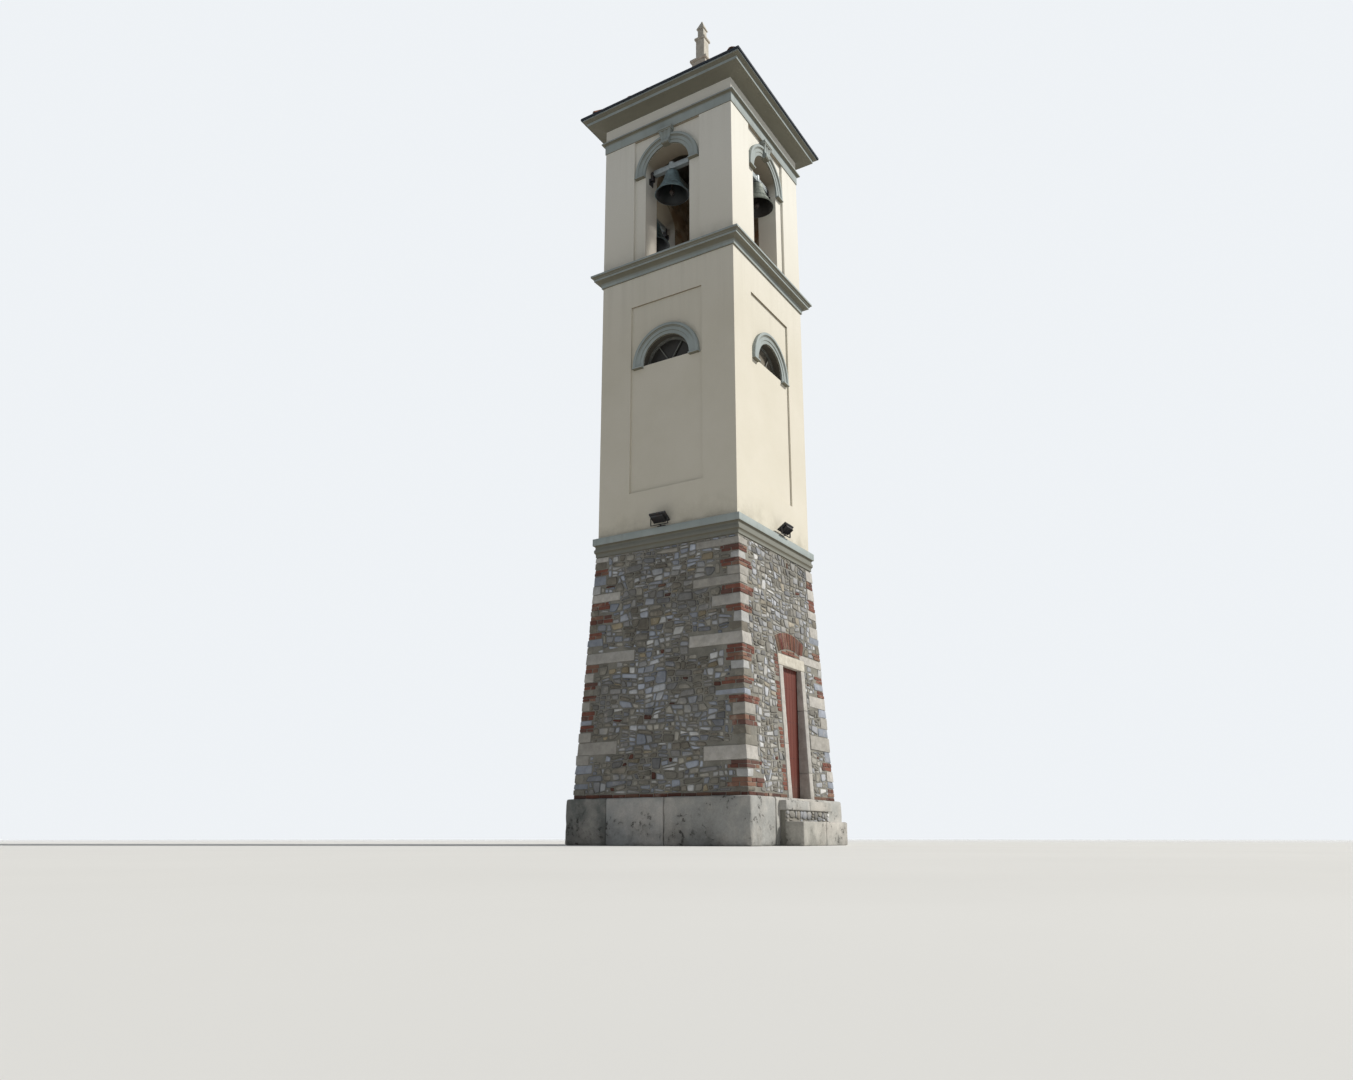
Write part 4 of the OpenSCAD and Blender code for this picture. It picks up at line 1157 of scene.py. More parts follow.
def repeat(name, small, spots, material, shake, uneven, seed, body="tower", slot=None, smooth=40):
    """A piece with a small mesh put down at every spot: a place, a turn and a tint."""
    host_mesh = bpy.data.meshes.new(name + "_host")
    host_mesh.from_pydata([s[0] for s in spots], [], [])
    host_mesh.attributes.new("turn", "FLOAT_VECTOR", "POINT")
    host_mesh.attributes.new("tint", "FLOAT_COLOR", "POINT")
    host_mesh.attributes["turn"].data.foreach_set("vector", [a for s in spots for a in s[1]])
    host_mesh.attributes["tint"].data.foreach_set("color", [c for s in spots for c in (*s[2], 1)])
    host = bpy.data.objects.new(name + "_host", host_mesh)
    model = bpy.data.objects.new(name + "_model", small)
    for thing in (host, model):
        scene.collection.objects.link(thing)
    modifier = host.modifiers.new("repeat", "NODES")
    modifier.node_group = REPEAT
    inputs = {i.name: i.identifier for i in REPEAT.interface.items_tree if i.in_out == "INPUT"}
    values = {"Piece": model, "Shake": shake, "Uneven Size": uneven, "Seed": seed,
              "Finish": material}
    for label, value in values.items():
        modifier[inputs[label]] = value
    bpy.context.view_layer.update()
    evaluated = host.evaluated_get(bpy.context.evaluated_depsgraph_get())
    mesh = bpy.data.meshes.new_from_object(evaluated)
    mesh.name = name
    for thing in (host, model):
        bpy.data.objects.remove(thing)
    new_piece(name, mesh, material, body, slot=slot, smooth=smooth)


print("repeating tree ready")

# %% [markdown]
# ### Brick arch over the lintel
# The relieving arch is one ring of bricks on edge. Each brick is slightly narrower at its foot,
# so that the joints stay even. The ring leans with the wall.

# %% Arch bricks
BRICKS_IN_ARCH, BRICK_DEEP = 23, 0.05
half_step, reach = ARCH_ANGLE / BRICKS_IN_ARCH, ARCH_R + ARCH_RING / 2
brick = Shape()
points = []
for half, z in (((ARCH_R + 0.004) * math.tan(half_step) - 0.005, -ARCH_RING / 2 + 0.003),
                ((ARCH_R + ARCH_RING) * math.tan(half_step) - 0.005, ARCH_RING / 2 - 0.003)):
    points += [(x, y, z) for x, y in ((-half, -BRICK_DEEP), (half, -BRICK_DEEP),
                                      (half, BRICK_DEEP), (-half, BRICK_DEEP))]
brick.add(points, SIX_SIDES)
rng = random.Random(8)
spots = []
for n in range(BRICKS_IN_ARCH):
    angle = -ARCH_ANGLE + half_step * (2 * n + 1)
    x, z = DOOR_X + reach * math.sin(angle), ARCH_Z + reach * math.cos(angle)
    y = -batter(z) + BRICK_DEEP - rng.uniform(0.004, 0.012)
    colour = rng.choice(BRICKS)
    spots.append(((x, y, z), (-math.atan(TAPER), angle, 0),
                  tuple(c * rng.uniform(0.9, 1.1) for c in colour)))
repeat("door_arch_bricks", brick.mesh("arch_brick", bevel=0.006, tinted=False), spots, BRICK,
       0.006, 0.0, 3, slot="brick")
paint(MORTAR, "door_arch")

# %% [markdown]
# ## Mouldings
# The plasterer ran each cornice with one template from corner to corner. The same idea makes the
# meshes: a section is softened at its arrises, taken round the square, and given a very small
# waver, because no run moulding is quite straight.

# %% Running a section round the tower
def softened(section, cut_back=0.006):
    """A closed section with every corner taken off by a small curve."""
    soft = []
    for i, (x, y) in enumerate(section):
        ends = []
        for ex, ey in (section[i - 1], section[(i + 1) % len(section)]):
            length = math.hypot(ex - x, ey - y)
            t = min(cut_back, length * 0.35) / length
            ends.append((x + (ex - x) * t, y + (ey - y) * t))
        (x0, y0), (x1, y1) = ends
        soft += [(x0, y0), (0.25 * x0 + 0.5 * x + 0.25 * x1, 0.25 * y0 + 0.5 * y + 0.25 * y1),
                 (x1, y1)]
    return soft


def hollow(start, end, depth, steps=7):
    """Points of a cove from one point of a section to the next, sunk by a depth."""
    (x0, y0), (x1, y1) = start, end
    length = math.hypot(x1 - x0, y1 - y0)
    nx, ny = (y1 - y0) / length, -(x1 - x0) / length
    points = []
    for t in [i / steps for i in range(1, steps)]:
        bow = 4 * t * (1 - t) * depth
        points.append((x0 + (x1 - x0) * t - nx * bow, y0 + (y1 - y0) * t - ny * bow))
    return points


def square_run(shape, section, pieces=14, corner=0.004, waver=0.0015):
    """Takes a closed section, half-width and height, round the square plan."""
    points, n, rows = [], len(section), 4 * (pieces + 1)
    for side in range(4):
        for t in [-1 + 2 * i / pieces for i in range(pieces + 1)]:
            for half, z in section:
                along = t * max(half - corner, 0)
                drift = noise.noise((t * 3 + side * 11, z * 2.0, 0)) * waver if half > 1.0 else 0
                points.append(turned(side, -along, -(half + drift), z))
    faces = []
    for r in range(rows):
        here, ahead = r * n, (r + 1) % rows * n
        faces += [(here + i, ahead + i, ahead + (i + 1) % n, here + (i + 1) % n) for i in range(n)]
    shape.add(points, faces)


INNER = 1.385
SECTIONS = {
    "base_cornice": [
        (INNER, 4.922), (1.432, 4.922), (1.432, 4.940),
        *hollow((1.432, 4.940), (1.455, 5.008), 0.010), (1.455, 5.008), (1.455, 5.060),
        (1.441, 5.063), (1.441, 5.078), *hollow((1.441, 5.078), (1.462, 5.134), 0.012),
        (1.475, 5.136), (1.475, 5.262), (1.40, 5.270), (INNER, 5.270)],
    "string_course": [
        (INNER, 10.241), (1.428, 10.241), (1.428, 10.290),
        *hollow((1.430, 10.290), (1.518, 10.368), 0.026), (1.518, 10.368), (1.532, 10.370),
        (1.532, 10.408), (1.545, 10.412), *hollow((1.545, 10.412), (1.578, 10.446), 0.006),
        (1.580, 10.446), (1.580, 10.484), (1.40, 10.495), (INNER, 10.495)],
    "architrave": [
        (INNER, 13.206), (1.415, 13.206), (1.415, 13.368),
        *hollow((1.417, 13.370), (1.455, 13.410), 0.012), (1.456, 13.411), (1.470, 13.412),
        (1.470, 13.440), (INNER, 13.440)],
    "top_cornice": [
        (0.971, 13.726), (1.412, 13.726), (1.414, 13.733),
        *hollow((1.416, 13.734), (1.668, 13.786), 0.020, 12), (1.670, 13.787), (1.676, 13.788),
        (1.678, 13.846), (1.684, 13.848), *hollow((1.686, 13.849), (1.738, 13.874), 0.006),
        (1.744, 13.876), (1.746, 13.909), (0.971, 13.909)],
}
for name, section in SECTIONS.items():
    run = Shape()
    square_run(run, softened(section))
    run.piece(name + "_run", TRIM, nodes=[name], slot="trim", smooth=35)

# %% [markdown]
# ### Arch surrounds
# The same template idea, now bent round a half circle: two flat fascias and a raised edge with a
# small roll. The surround drops straight below the centre of its arc and ends on a foot. Its
# inner edge lies two millimetres outside the opening, so that it doesn't fight with the reveal.

# %% Running a section round an arch
ARCH_OPENING, LUNETTE_Z, SPRING_Z, LUNETTE_GROUND, FIELD_GROUND = 0.483, 8.415, 12.4, 1.365, 1.355
SURROUND_R, SURROUND_W, SURROUND_OUT = ARCH_OPENING + 0.002, 0.205, 0.07
SURROUND_DROP, ARC_STEPS, FOOT_H = 0.045, 40, 0.030
# Shares of the surround's width and of how far it stands out
SURROUND_RISE = [(0.0, 0.44), (0.30, 0.44), (0.315, 0.60), (0.62, 0.60), (0.64, 0.72),
                 (0.70, 0.74), (0.72, 0.94), (0.78, 1.0), (0.94, 1.0), (1.0, 0.9)]
SURROUND = softened([(0.0, -0.02), *((a * SURROUND_W, b * SURROUND_OUT) for a, b in SURROUND_RISE),
                     (SURROUND_W, -0.02)], 0.004)


def arch_run(shape, side, ground, centre_z, skip=None):
    """Takes the surround up one leg, round the arc and down the other, but not past a keystone."""
    top = math.pi / 2
    rows = [(0.0, -SURROUND_DROP), *((math.pi * i / ARC_STEPS, 0.0) for i in range(ARC_STEPS + 1)),
            (math.pi, -SURROUND_DROP)]
    runs = [rows]
    if skip:
        runs = [[r for r in rows if r[0] <= top - skip] + [(top - skip, 0.0)],
                [(top + skip, 0.0)] + [r for r in rows if r[0] >= top + skip]]
    place = turner(side, -ground, centre_z)
    for run in runs:
        points = [place((SURROUND_R + dr) * math.cos(a), -proud,
                        (SURROUND_R + dr) * math.sin(a) + fall)
                  for a, fall in run for dr, proud in SURROUND]
        shape.add(points, ring_faces(len(run), len(SURROUND)))
    for sign in (1, -1):
        left, right = sorted((sign * SURROUND_R, sign * (SURROUND_R + SURROUND_W + 0.010)))
        foot = centre_z - SURROUND_DROP
        worn_block(shape, (left, -(ground + SURROUND_OUT + 0.006), foot),
                   (right, -ground + 0.01, foot + FOOT_H), 0.005, 0.05, 0.0005, turner(side), 0.2)


lunettes, belfry = Shape(), Shape()
for side in range(4):
    arch_run(lunettes, side, LUNETTE_GROUND, LUNETTE_Z)
    arch_run(belfry, side, FIELD_GROUND, SPRING_Z, skip=0.13)
lunettes.piece("lunette_surround_runs", TRIM, nodes=["lunette_surrounds"], slot="trim", smooth=35)
belfry.piece("belfry_archivolt_runs", TRIM, nodes=["belfry_archivolts"], slot="trim", smooth=35)

# %% [markdown]
# ### Keystones
# Each keystone is a small console: narrow at its foot, where it ends in a roll, and wider at its
# head under a cap, with two flutes down its face. It is lofted from rows across its width, whose
# depth along the height comes from a short list.

# %% Keystones
KEY_Z, KEY_H, KEY_FOOT_HALF, KEY_HEAD_HALF = SPRING_Z + SURROUND_R - 0.008, 0.330, 0.0725, 0.145
KEY_ROWS = [(0.0, 0.045), (0.0, 0.085), (0.02, 0.103), (0.05, 0.108), (0.075, 0.098),
            (0.09, 0.082), (0.12, 0.076), (0.17, 0.080), (0.22, 0.092), (0.255, 0.102),
            (0.262, 0.104)]
CAP_ROWS = [(0.262, 0.108), (0.272, 0.112), (0.285, 0.114), (0.292, 0.122), (0.322, 0.123),
            (0.329, 0.120)]
HALF_FLUTES = [(0.08, 0.0), (0.18, 0.011), (0.30, 0.014), (0.56, 0.011), (0.66, 0.0), (0.8, 0.0),
               (1.0, 0.0)]
FLUTES = [(-x, sink) for x, sink in reversed(HALF_FLUTES)] + HALF_FLUTES
keys = Shape()
for side in range(4):
    for rows, wide, deep in ((KEY_ROWS, 0.0, 1.0), (CAP_ROWS, 0.012, 0.0)):
        points = []
        for up, out in rows:
            half = KEY_FOOT_HALF + (KEY_HEAD_HALF - KEY_FOOT_HALF) * up / KEY_H + wide
            line = [(-half, -0.02), *((f * half, out - deep * sink) for f, sink in FLUTES),
                    (half, -0.02)]
            points += [turned(side, x, -(FIELD_GROUND + proud), KEY_Z + up) for x, proud in line]
        keys.add(points, ring_faces(len(rows), len(FLUTES) + 2))
keys.piece("keystone_consoles", TRIM, nodes=["keystones"], slot="trim", smooth=45)

# %% [markdown]
# ## Door
# The door is a row of upright planks painted red-brown, nailed to ledges behind. Its planks, its
# ironwork and its nails ride on the door's own body, so they swing with it. Turned parts are made
# by one function, and a second one fits small things, such as bolts, onto a larger piece.

# %% Turned and drawn shapes
OUT_X, OUT_Y = (2, 0, 1), (0, 2, 1)  # own axes in the order that points a fitting's z that way


def fitted(place, at, order=(0, 1, 2), signs=(1, 1, 1)):
    """Carries a fitting to a point of a larger piece, with its axes in an order and with signs."""
    return lambda *own: place(*(p + s * own[i] for p, s, i in zip(at, signs, order)))


def circle(radius, around, phase=0.0):
    turns = [2 * math.pi * i / around + phase for i in range(around)]
    return [(radius * math.cos(a), radius * math.sin(a)) for a in turns]


def lathe(shape, profile, place, around=20, tint=WHITE):
    """Turns a profile of radius and height about an axis; a radius of 0 closes an end."""
    points, rows, faces = [], [], []
    for radius, height in profile:
        ring = circle(radius, around) if radius else [(0.0, 0.0)]
        rows.append(list(range(len(points), len(points) + len(ring))))
        points += [place(x, y, height) for x, y in ring]
    for low, high in zip(rows, rows[1:]):
        for i in range(around):
            j = (i + 1) % around
            loop = [low[i % len(low)], low[j % len(low)], high[j % len(high)], high[i % len(high)]]
            faces.append(list(dict.fromkeys(loop)))
    shape.add(points, [f for f in faces if len(f) > 2], tint)


def bolt(shape, place, size=0.02, proud=0.012, tint=WHITE):
    """A washer with a six-sided nut and the round end of its bolt; z points out of the plate."""
    washer = [(0, 0.0), (0.95, 0.0), (0.95, 0.2), (0.6, 0.22)]
    nut = [(0, 0.1), (0.62, 0.2), (0.62, 0.72), (0.5, 0.8), (0, 0.8)]
    end = [(0, 0.5), (0.28, 0.7), (0.28, 1.0), (0.2, 1.1), (0, 1.12)]
    for profile, around in ((washer, 14), (nut, 6), (end, 8)):
        lathe(shape, [(r * size, h * proud) for r, h in profile], place, around, tint)


print("turning and fitting functions ready")

# %% Planks, nails
PLANKS, PLANK_GAP = 7, 0.0012
NAIL = [(0.0075, -0.002), (0.0072, 0.001), (0.0045, 0.0032), (0, 0.004)]
NAIL_ROWS, NAIL_SHARES = (0.93, 1.42, 2.02, 2.58), (0.28, 0.72)
(leaf_x, leaf_y, leaf_foot), (leaf_end, leaf_back, leaf_head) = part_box("door_leaf")
wide = (leaf_end - leaf_x) / PLANKS
planks, nail, spots = Shape(), Shape(), []
rng = random.Random(21)
for n in range(PLANKS):
    left = leaf_x + n * wide
    tone = rng.uniform(0.86, 1.06)
    worn_block(planks, (left + PLANK_GAP, leaf_y + rng.uniform(0, 0.002), leaf_foot),
               (left + wide - PLANK_GAP, leaf_back, leaf_head), 0.005, 0.16, 0.001, chips=0.2,
               tint=(tone, tone, tone))
planks.piece("door_planks", DOOR_PAINT, "door", ["door_leaf"], "door_paint", 35)
lathe(nail, NAIL, fitted(as_drawn, (0, 0, 0), OUT_Y, (1, -1, 1)), 8)
for n in range(PLANKS):
    for z in NAIL_ROWS:
        for share in NAIL_SHARES:
            place = (leaf_x + (n + share) * wide, leaf_y, z + rng.uniform(-0.006, 0.006))
            spots.append((place, (0, 0, 0), WHITE))
repeat("door_nails", nail.mesh("nail", tinted=False), spots, IRON, 0.05, 0.15, 4, "door", "iron")

# %% Hinges, lock
HINGE_X, HINGE_Y, KNUCKLE_R, KNUCKLE_H, PINTLE_R, STRAP_T = 0.647, -1.378, 0.012, 0.09, 0.007, 0.006
STRAP_HALF, STRAP_END = KNUCKLE_H / 2 - 0.02, HINGE_X - (leaf_end - leaf_x - 0.09)
STRAP = [(HINGE_X - KNUCKLE_R * 0.6, 1.0), (HINGE_X - 0.2, 1.0), (STRAP_END + 0.10, 0.62),
         (STRAP_END + 0.05, 0.9), (STRAP_END + 0.02, 0.55), (STRAP_END, 0.0)]
STRAP = [(x, share * STRAP_HALF) for x, share in STRAP]
STRAP += [(x, -up) for x, up in reversed(STRAP[:-1])]
BORE = PINTLE_R + 0.0003
KNUCKLE = [(BORE, 0.0), (KNUCKLE_R - 0.002, 0.0), (KNUCKLE_R, 0.003),
           (KNUCKLE_R, KNUCKLE_H / 2 - 0.002), (KNUCKLE_R - 0.0015, KNUCKLE_H / 2),
           (KNUCKLE_R, KNUCKLE_H / 2 + 0.002), (KNUCKLE_R, KNUCKLE_H - 0.003),
           (KNUCKLE_R - 0.002, KNUCKLE_H), (BORE, KNUCKLE_H), (BORE, 0.0)]
iron = Shape()
for z in (1.07, 2.51):
    middle = z + KNUCKLE_H / 2
    iron.add([(x, leaf_back + out, middle + up) for out in (0, STRAP_T) for x, up in STRAP],
             ring_faces(2, len(STRAP)))
    for x in (0.54, 0.40, 0.26, 0.12, 0.0):
        bolt(iron, fitted(as_drawn, (x, leaf_back + STRAP_T, middle), OUT_Y), 0.012, 0.008)
    lathe(iron, KNUCKLE, fitted(as_drawn, (HINGE_X, HINGE_Y, z)))

LOCK_Z, RING_R, RING_BAR, RING_STEPS = 1.79, 0.028, 0.003, 20
worn_block(iron, (leaf_x + 0.04, leaf_back, LOCK_Z),
           (leaf_x + 0.19, leaf_back + 0.035, LOCK_Z + 0.11), 0.004, 0.06, 0)
worn_block(iron, (leaf_x + 0.045, leaf_y - 0.003, LOCK_Z - 0.03),
           (leaf_x + 0.105, leaf_y + 0.001, LOCK_Z + 0.15), 0.0012, 0.03, 0)
knob = (leaf_x + 0.075, leaf_y - 0.003, LOCK_Z + 0.09)
KNOB = [(0, 0.0), (0.016, 0.0), (0.016, 0.003), (0.009, 0.006), (0.0075, 0.013), (0.009, 0.018),
        (0.0065, 0.022), (0, 0.0225)]
lathe(iron, KNOB, fitted(as_drawn, knob, OUT_Y, (1, -1, 1)), 18)
path = [Vector((knob[0] + RING_R * math.sin(a), knob[1] - 0.012,
                knob[2] - 0.026 + RING_R * math.cos(a)))
        for a in [2 * math.pi * i / RING_STEPS for i in range(RING_STEPS + 1)]]
points = []
for i, here in enumerate(path):
    ahead = (path[min(i + 1, RING_STEPS)] - path[max(i - 1, 0)]).normalized()
    across = ahead.cross(Vector((0.31, 0.17, 0.93))).normalized()
    points += [here + across * x + ahead.cross(across) * y for x, y in circle(RING_BAR, 8)]
iron.add(points, ring_faces(len(path), 8))
iron.piece("door_ironwork", IRON, "door", ["door_hardware"], "iron", 35)
paint(IRON, "door_pintles")

# %% [markdown]
# ## Half-round windows
# Each frame is a bent bar with a stepped section, a bottom rail and two thin bars in a V. The
# glass behind it is old and dusty, and painted paler on the door's side as painted sunlight.

# %% Window frames
BAR_LEAN = math.radians(33)
FRAME_BACK, FRAME_FRONT, FRAME_STEPS = 1.21, 1.25, 32
FRAME_SECTION = [(0.443, FRAME_BACK), (0.443, 1.236), (0.449, 1.240), (0.449, FRAME_FRONT),
                 (0.4825, FRAME_FRONT), (0.4825, FRAME_BACK)]


def window_frame(shape, side):
    def place(x, y, z):
        return turned(side, x, -y, LUNETTE_Z + z)

    def leaned(lean):
        c, s = math.cos(lean), math.sin(lean)
        return lambda x, y, z: place(x * c + z * s, y, z * c - x * s)

    arc = [math.pi * i / FRAME_STEPS for i in range(FRAME_STEPS + 1)]
    shape.add([place(r * math.cos(a), y, r * math.sin(a)) for a in arc for r, y in FRAME_SECTION],
              ring_faces(len(arc), len(FRAME_SECTION)))
    worn_block(shape, (-0.478, FRAME_BACK, 0.001), (0.478, FRAME_FRONT, 0.040), 0.004, 0.16, 0,
               place)
    for lean in (-BAR_LEAN, BAR_LEAN):
        worn_block(shape, (-0.010, 1.214, 0.03), (0.010, 1.244, 0.455), 0.003, 0.14, 0,
                   leaned(lean))


frames = Shape()
for side in range(4):
    window_frame(frames, side)
frames.piece("lunette_frame_bars", FRAME_PAINT, nodes=["lunette_frames"], slot="frame_paint",
             smooth=35)
paint(GLASS, "lunette_glass")

# %% [markdown]
# ## Floors
# Each floor is laid with square terracotta tiles, put down by the repeating tree.

# %% Tiled floors
PAVING_STEP, PAVING_HALF = 0.296, 0.1455
FLOORS = {"ground_floor": 0.90, "shaft_floor": 0.92, "belfry_floor": 0.96}
paving, spots = Shape(), []
worn_block(paving, (-PAVING_HALF, -PAVING_HALF, -0.012), (PAVING_HALF, PAVING_HALF, 0.0035), 0.003,
           0.30, 0.0006)
rng = random.Random(31)
for node, half in FLOORS.items():
    top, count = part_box(node)[1].z, int(2 * half / PAVING_STEP)
    places = [(i - (count - 1) / 2) * PAVING_STEP for i in range(count)]
    for x in places:
        for y in places:
            tone = rng.uniform(0.75, 1.1)
            turn = (0, 0, rng.choice((0, 1, 2, 3)) * math.pi / 2)
            spots.append(((x, y, top), turn, (tone, tone * rng.uniform(0.94, 1.02), tone)))
repeat("floor_tiles", paving.mesh("floor_tile", tinted=False), spots, TERRACOTTA, 0.004, 0.004, 6,
       slot="floor_brick")
paint(TERRACOTTA, *FLOORS)

# %% [markdown]
# ## Roof
# Only the dark metal drip edge shows from the ground. Above it the low roof is laid with barrel
# tiles: a course of channels, and covers turned over their joints. The hips have larger covers.

# %% Barrel tiles
ARC_POINTS, FLATTENED = 7, 0.62


def barrel(name, long, wide, narrow, up, thick=0.014):
    """A tapered tile along y, its wide end low; up is 1 for a cover and -1 for a channel."""
    n, points, faces = ARC_POINTS, [], []
    for y, radius in ((-long / 2, wide / 2), (0.0, (wide + narrow) / 4), (long / 2, narrow / 2)):
        for r in (radius, radius - thick):
            for a in [math.pi * i / (n - 1) for i in range(n)]:
                points.append((r * math.cos(a), y, up * r * math.sin(a) * FLATTENED))
    for a in (0, 2 * n):
        b = a + 2 * n
        for k in (0, n):
            faces += [(a + k + i, a + k + i + 1, b + k + i + 1, b + k + i) for i in range(n - 1)]
        faces += [(a + i, b + i, b + n + i, a + n + i) for i in (0, n - 1)]
    for a in (0, 4 * n):
        faces += [(a + i, a + i + 1, a + n + i + 1, a + n + i) for i in range(n - 1)]
    tile = Shape()
    tile.add(points, faces)
    return tile.mesh(name, tinted=False)


EAVES, EAVES_Z, RISE, TILES_TOP = 1.771, 13.91, 1.40, 15.11
COURSE, COLUMN = 0.31, 0.205
SLOPE, REACH = math.atan(RISE / EAVES), EAVES * math.sqrt(2)
HIP_SLOPE = math.atan(RISE / REACH)
rng = random.Random(13)
covers, channels, hips = [], [], []


def up_slope(run, slope, along, sunk):
    """Distance from the axis and height of a place at a distance up a slope from the eaves."""
    return run - along * math.cos(slope), EAVES_Z - sunk + along * math.sin(slope) * 0.995


def terracotta_tint():
    tone, pale = rng.uniform(0.62, 1.05), rng.random() * 0.25
    return (tone, tone * (0.9 + pale), tone * (0.85 + pale * 1.4))


for side, turn in enumerate((0, -math.pi / 2, math.pi, math.pi / 2)):
    for row in range(int(math.hypot(EAVES, RISE) / COURSE)):
        out, z = up_slope(EAVES, SLOPE, 0.43 + row * COURSE, 0.014)
        if z > TILES_TOP:
            continue
        across = int((out - 0.02) / COLUMN)
        for column in range(-across, across + 1):
            for kind, shift, lift in ((channels, 0.0, -0.012), (covers, COLUMN / 2, 0.010)):
                x = column * COLUMN + shift
                if abs(x) <= out - 0.02:
                    place = turned(side, x, -(out + rng.uniform(-0.012, 0.012)), z + lift)
                    kind.append((place, (SLOPE - 0.035, 0, turn), terracotta_tint()))
HIPS = [math.radians(45 + 90 * corner) for corner in range(4)]
for away in HIPS:
    for n in range(int(math.hypot(REACH, RISE) / COURSE)):
        out, z = up_slope(REACH, HIP_SLOPE, 0.51 + n * COURSE, 0.002)
        if z < TILES_TOP:
            hips.append(((out * math.cos(away), out * math.sin(away), z),
                         (HIP_SLOPE - 0.03, 0, away + math.pi / 2), terracotta_tint()))
for name, spots, sizes, shake, uneven, seed in (
        ("cover", covers, (0.38, 0.185, 0.145, 1), 0.03, 0.03, 7),
        ("channel", channels, (0.38, 0.165, 0.200, -1), 0.02, 0.03, 8),
        ("hip", hips, (0.40, 0.25, 0.205, 1, 0.016), 0.02, 0.02, 9)):
    repeat("roof_%s_tiles" % name, barrel(name, *sizes), spots, TILE, shake, uneven, seed,
           slot="roof_tiles", smooth=50)

# %% [markdown]
# The deck shows between the tiles. Under each hip runs a bed of mortar that fills the hollow below
# the hip tiles and closes it at the eaves.

# %% Deck, drip edge
DECK = [(0.02, 15.172), (0.02, 15.00), (1.64, EAVES_Z + 0.002), (1.655, EAVES_Z + 0.012),
        (0.29, 15.005), (0.225, 15.02), (0.225, 15.172)]
BED_LEFT = [(-0.105, -0.16), (-0.105, -0.01), (-0.06, 0.036)]
BED = BED_LEFT + [(0.0, 0.048)] + [(-across, up) for across, up in reversed(BED_LEFT)]
BED_START, BED_END, BED_RINGS = 0.34, 2.40, 16
DRIP_EDGE = [(0.10, -0.001), (0.012, -0.001), (0.004, -0.012), (0.0, -0.010), (0.0, 0.034),
             (0.006, 0.040), (0.22, 0.125), (0.22, 0.110)]
deck, drip = Shape(), Shape()
square_run(deck, DECK, 6, 0.0, 0.0)
for corner, away in enumerate(HIPS):
    points = []
    for n in range(BED_RINGS):
        along = BED_START + (BED_END - BED_START) * n / (BED_RINGS - 1)
        out, z = up_slope(REACH, HIP_SLOPE, along, 0.002)
        for across, up in BED:
            lump = Vector((across * 30, along * 9, corner * 7.3 + up * 20))
            wear = 0.006 * noise.noise(lump)
            side = across * (1 + wear * 8)
            points.append((out * math.cos(away) - side * math.sin(away),
                           out * math.sin(away) + side * math.cos(away), z + up + wear))
    deck.add(points, ring_faces(BED_RINGS, len(BED)))
deck.piece("roof_deck", MORTAR, nodes=["roof"], slot="roof_tiles")
square_run(drip, [(EAVES - back, EAVES_Z + up) for back, up in DRIP_EDGE], 10, 0.0, 0.002)
drip.piece("roof_drip_edge", DARK_METAL, slot="iron", smooth=30)

# %% [markdown]
# ## Pinnacle
# Worn stone blocks in steps, with a small cap.

# %% Pinnacle
stack = Shape()
low, tip = (corner.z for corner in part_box("pinnacle"))
head_z, cap_z = tip - 0.52, tip - 0.24
# Half-width, foot, head and edge radius of each block
BLOCKS = [(0.225, low, low + 0.06, 0.012), (0.160, low + 0.055, low + 0.565, 0.010),
          (0.195, low + 0.56, low + 0.62, 0.014), (0.145, low + 0.615, low + 0.66, 0.010),
          (0.100, low + 0.655, head_z + 0.005, 0.012), (0.125, head_z, head_z + 0.05, 0.012),
          (0.070, head_z + 0.045, cap_z + 0.005, 0.008)]
for half, foot, top, radius in BLOCKS:
    worn_block(stack, (-half, -half, foot), (half, half, top), radius, 0.05, 0.003,
               tint=tinged(srgb(212, 208, 198), rng.uniform(0.9, 1.02)))
CAP = [(0.088, cap_z), (0.090, cap_z + 0.008), (0.086, cap_z + 0.016), (0.055, cap_z + 0.10),
       (0.022, tip - 0.05), (0.010, tip - 0.012)]
points = [(sx * half, sy * half, z) for half, z in CAP
          for sx, sy in ((-1, -1), (1, -1), (1, 1), (-1, 1))]
stack.add(points + [(0, 0, tip)], [(0, 1, 2, 3)] + dome_faces(len(CAP), 4), srgb(206, 202, 192))
stack.piece("pinnacle_stones", PALE_BLOCK, nodes=["pinnacle"], slot="pale_stone", smooth=45)

# %% [markdown]
# ## Bells
# A bell is a turned shape. Its profile is the flare of the CAD bell with the founder's mouldings
# added: a thick lip, two lines above it, three round the waist and three at the shoulder. The
# yoke and the bell swing as one body, and the clapper in it as another.

# %% Bell profile
YOKE_OUT, YOKE_Z, LIP_Z, BELL_H, CLAPPER_Z = 1.185, 12.5, 11.898, 0.470, 12.298
LIP_R, SHOULDER_R, BELL_WALL, CROWN_TOP = 0.330, 0.130, 0.034, 0.5465
INSIDE = (0.84, 0.7, 0.55, 0.4, 0.28, 0.18, 0.1, 0.05)
LINES = {0.07: 0.004, 0.105: 0.003, 0.33: 0.003, 0.36: 0.004, 0.39: 0.003, 0.74: 0.003,
         0.78: 0.004, 0.82: 0.003}
CROWN = [(SHOULDER_R - 0.002, 0.0), (SHOULDER_R - 0.012, 0.014), (SHOULDER_R - 0.03, 0.022),
         (0.078, 0.031), (0.066, 0.036), (0.060, 0.040), (0.054, 0.044), (0.052, 0.050)]
LEVELS = 28


def flare(t, thinner=0.0):
    """The bell's outline at a share of its height, as radius and height."""
    return SHOULDER_R + (LIP_R - SHOULDER_R) * (1 - t) ** 1.6 + thinner, t * BELL_H


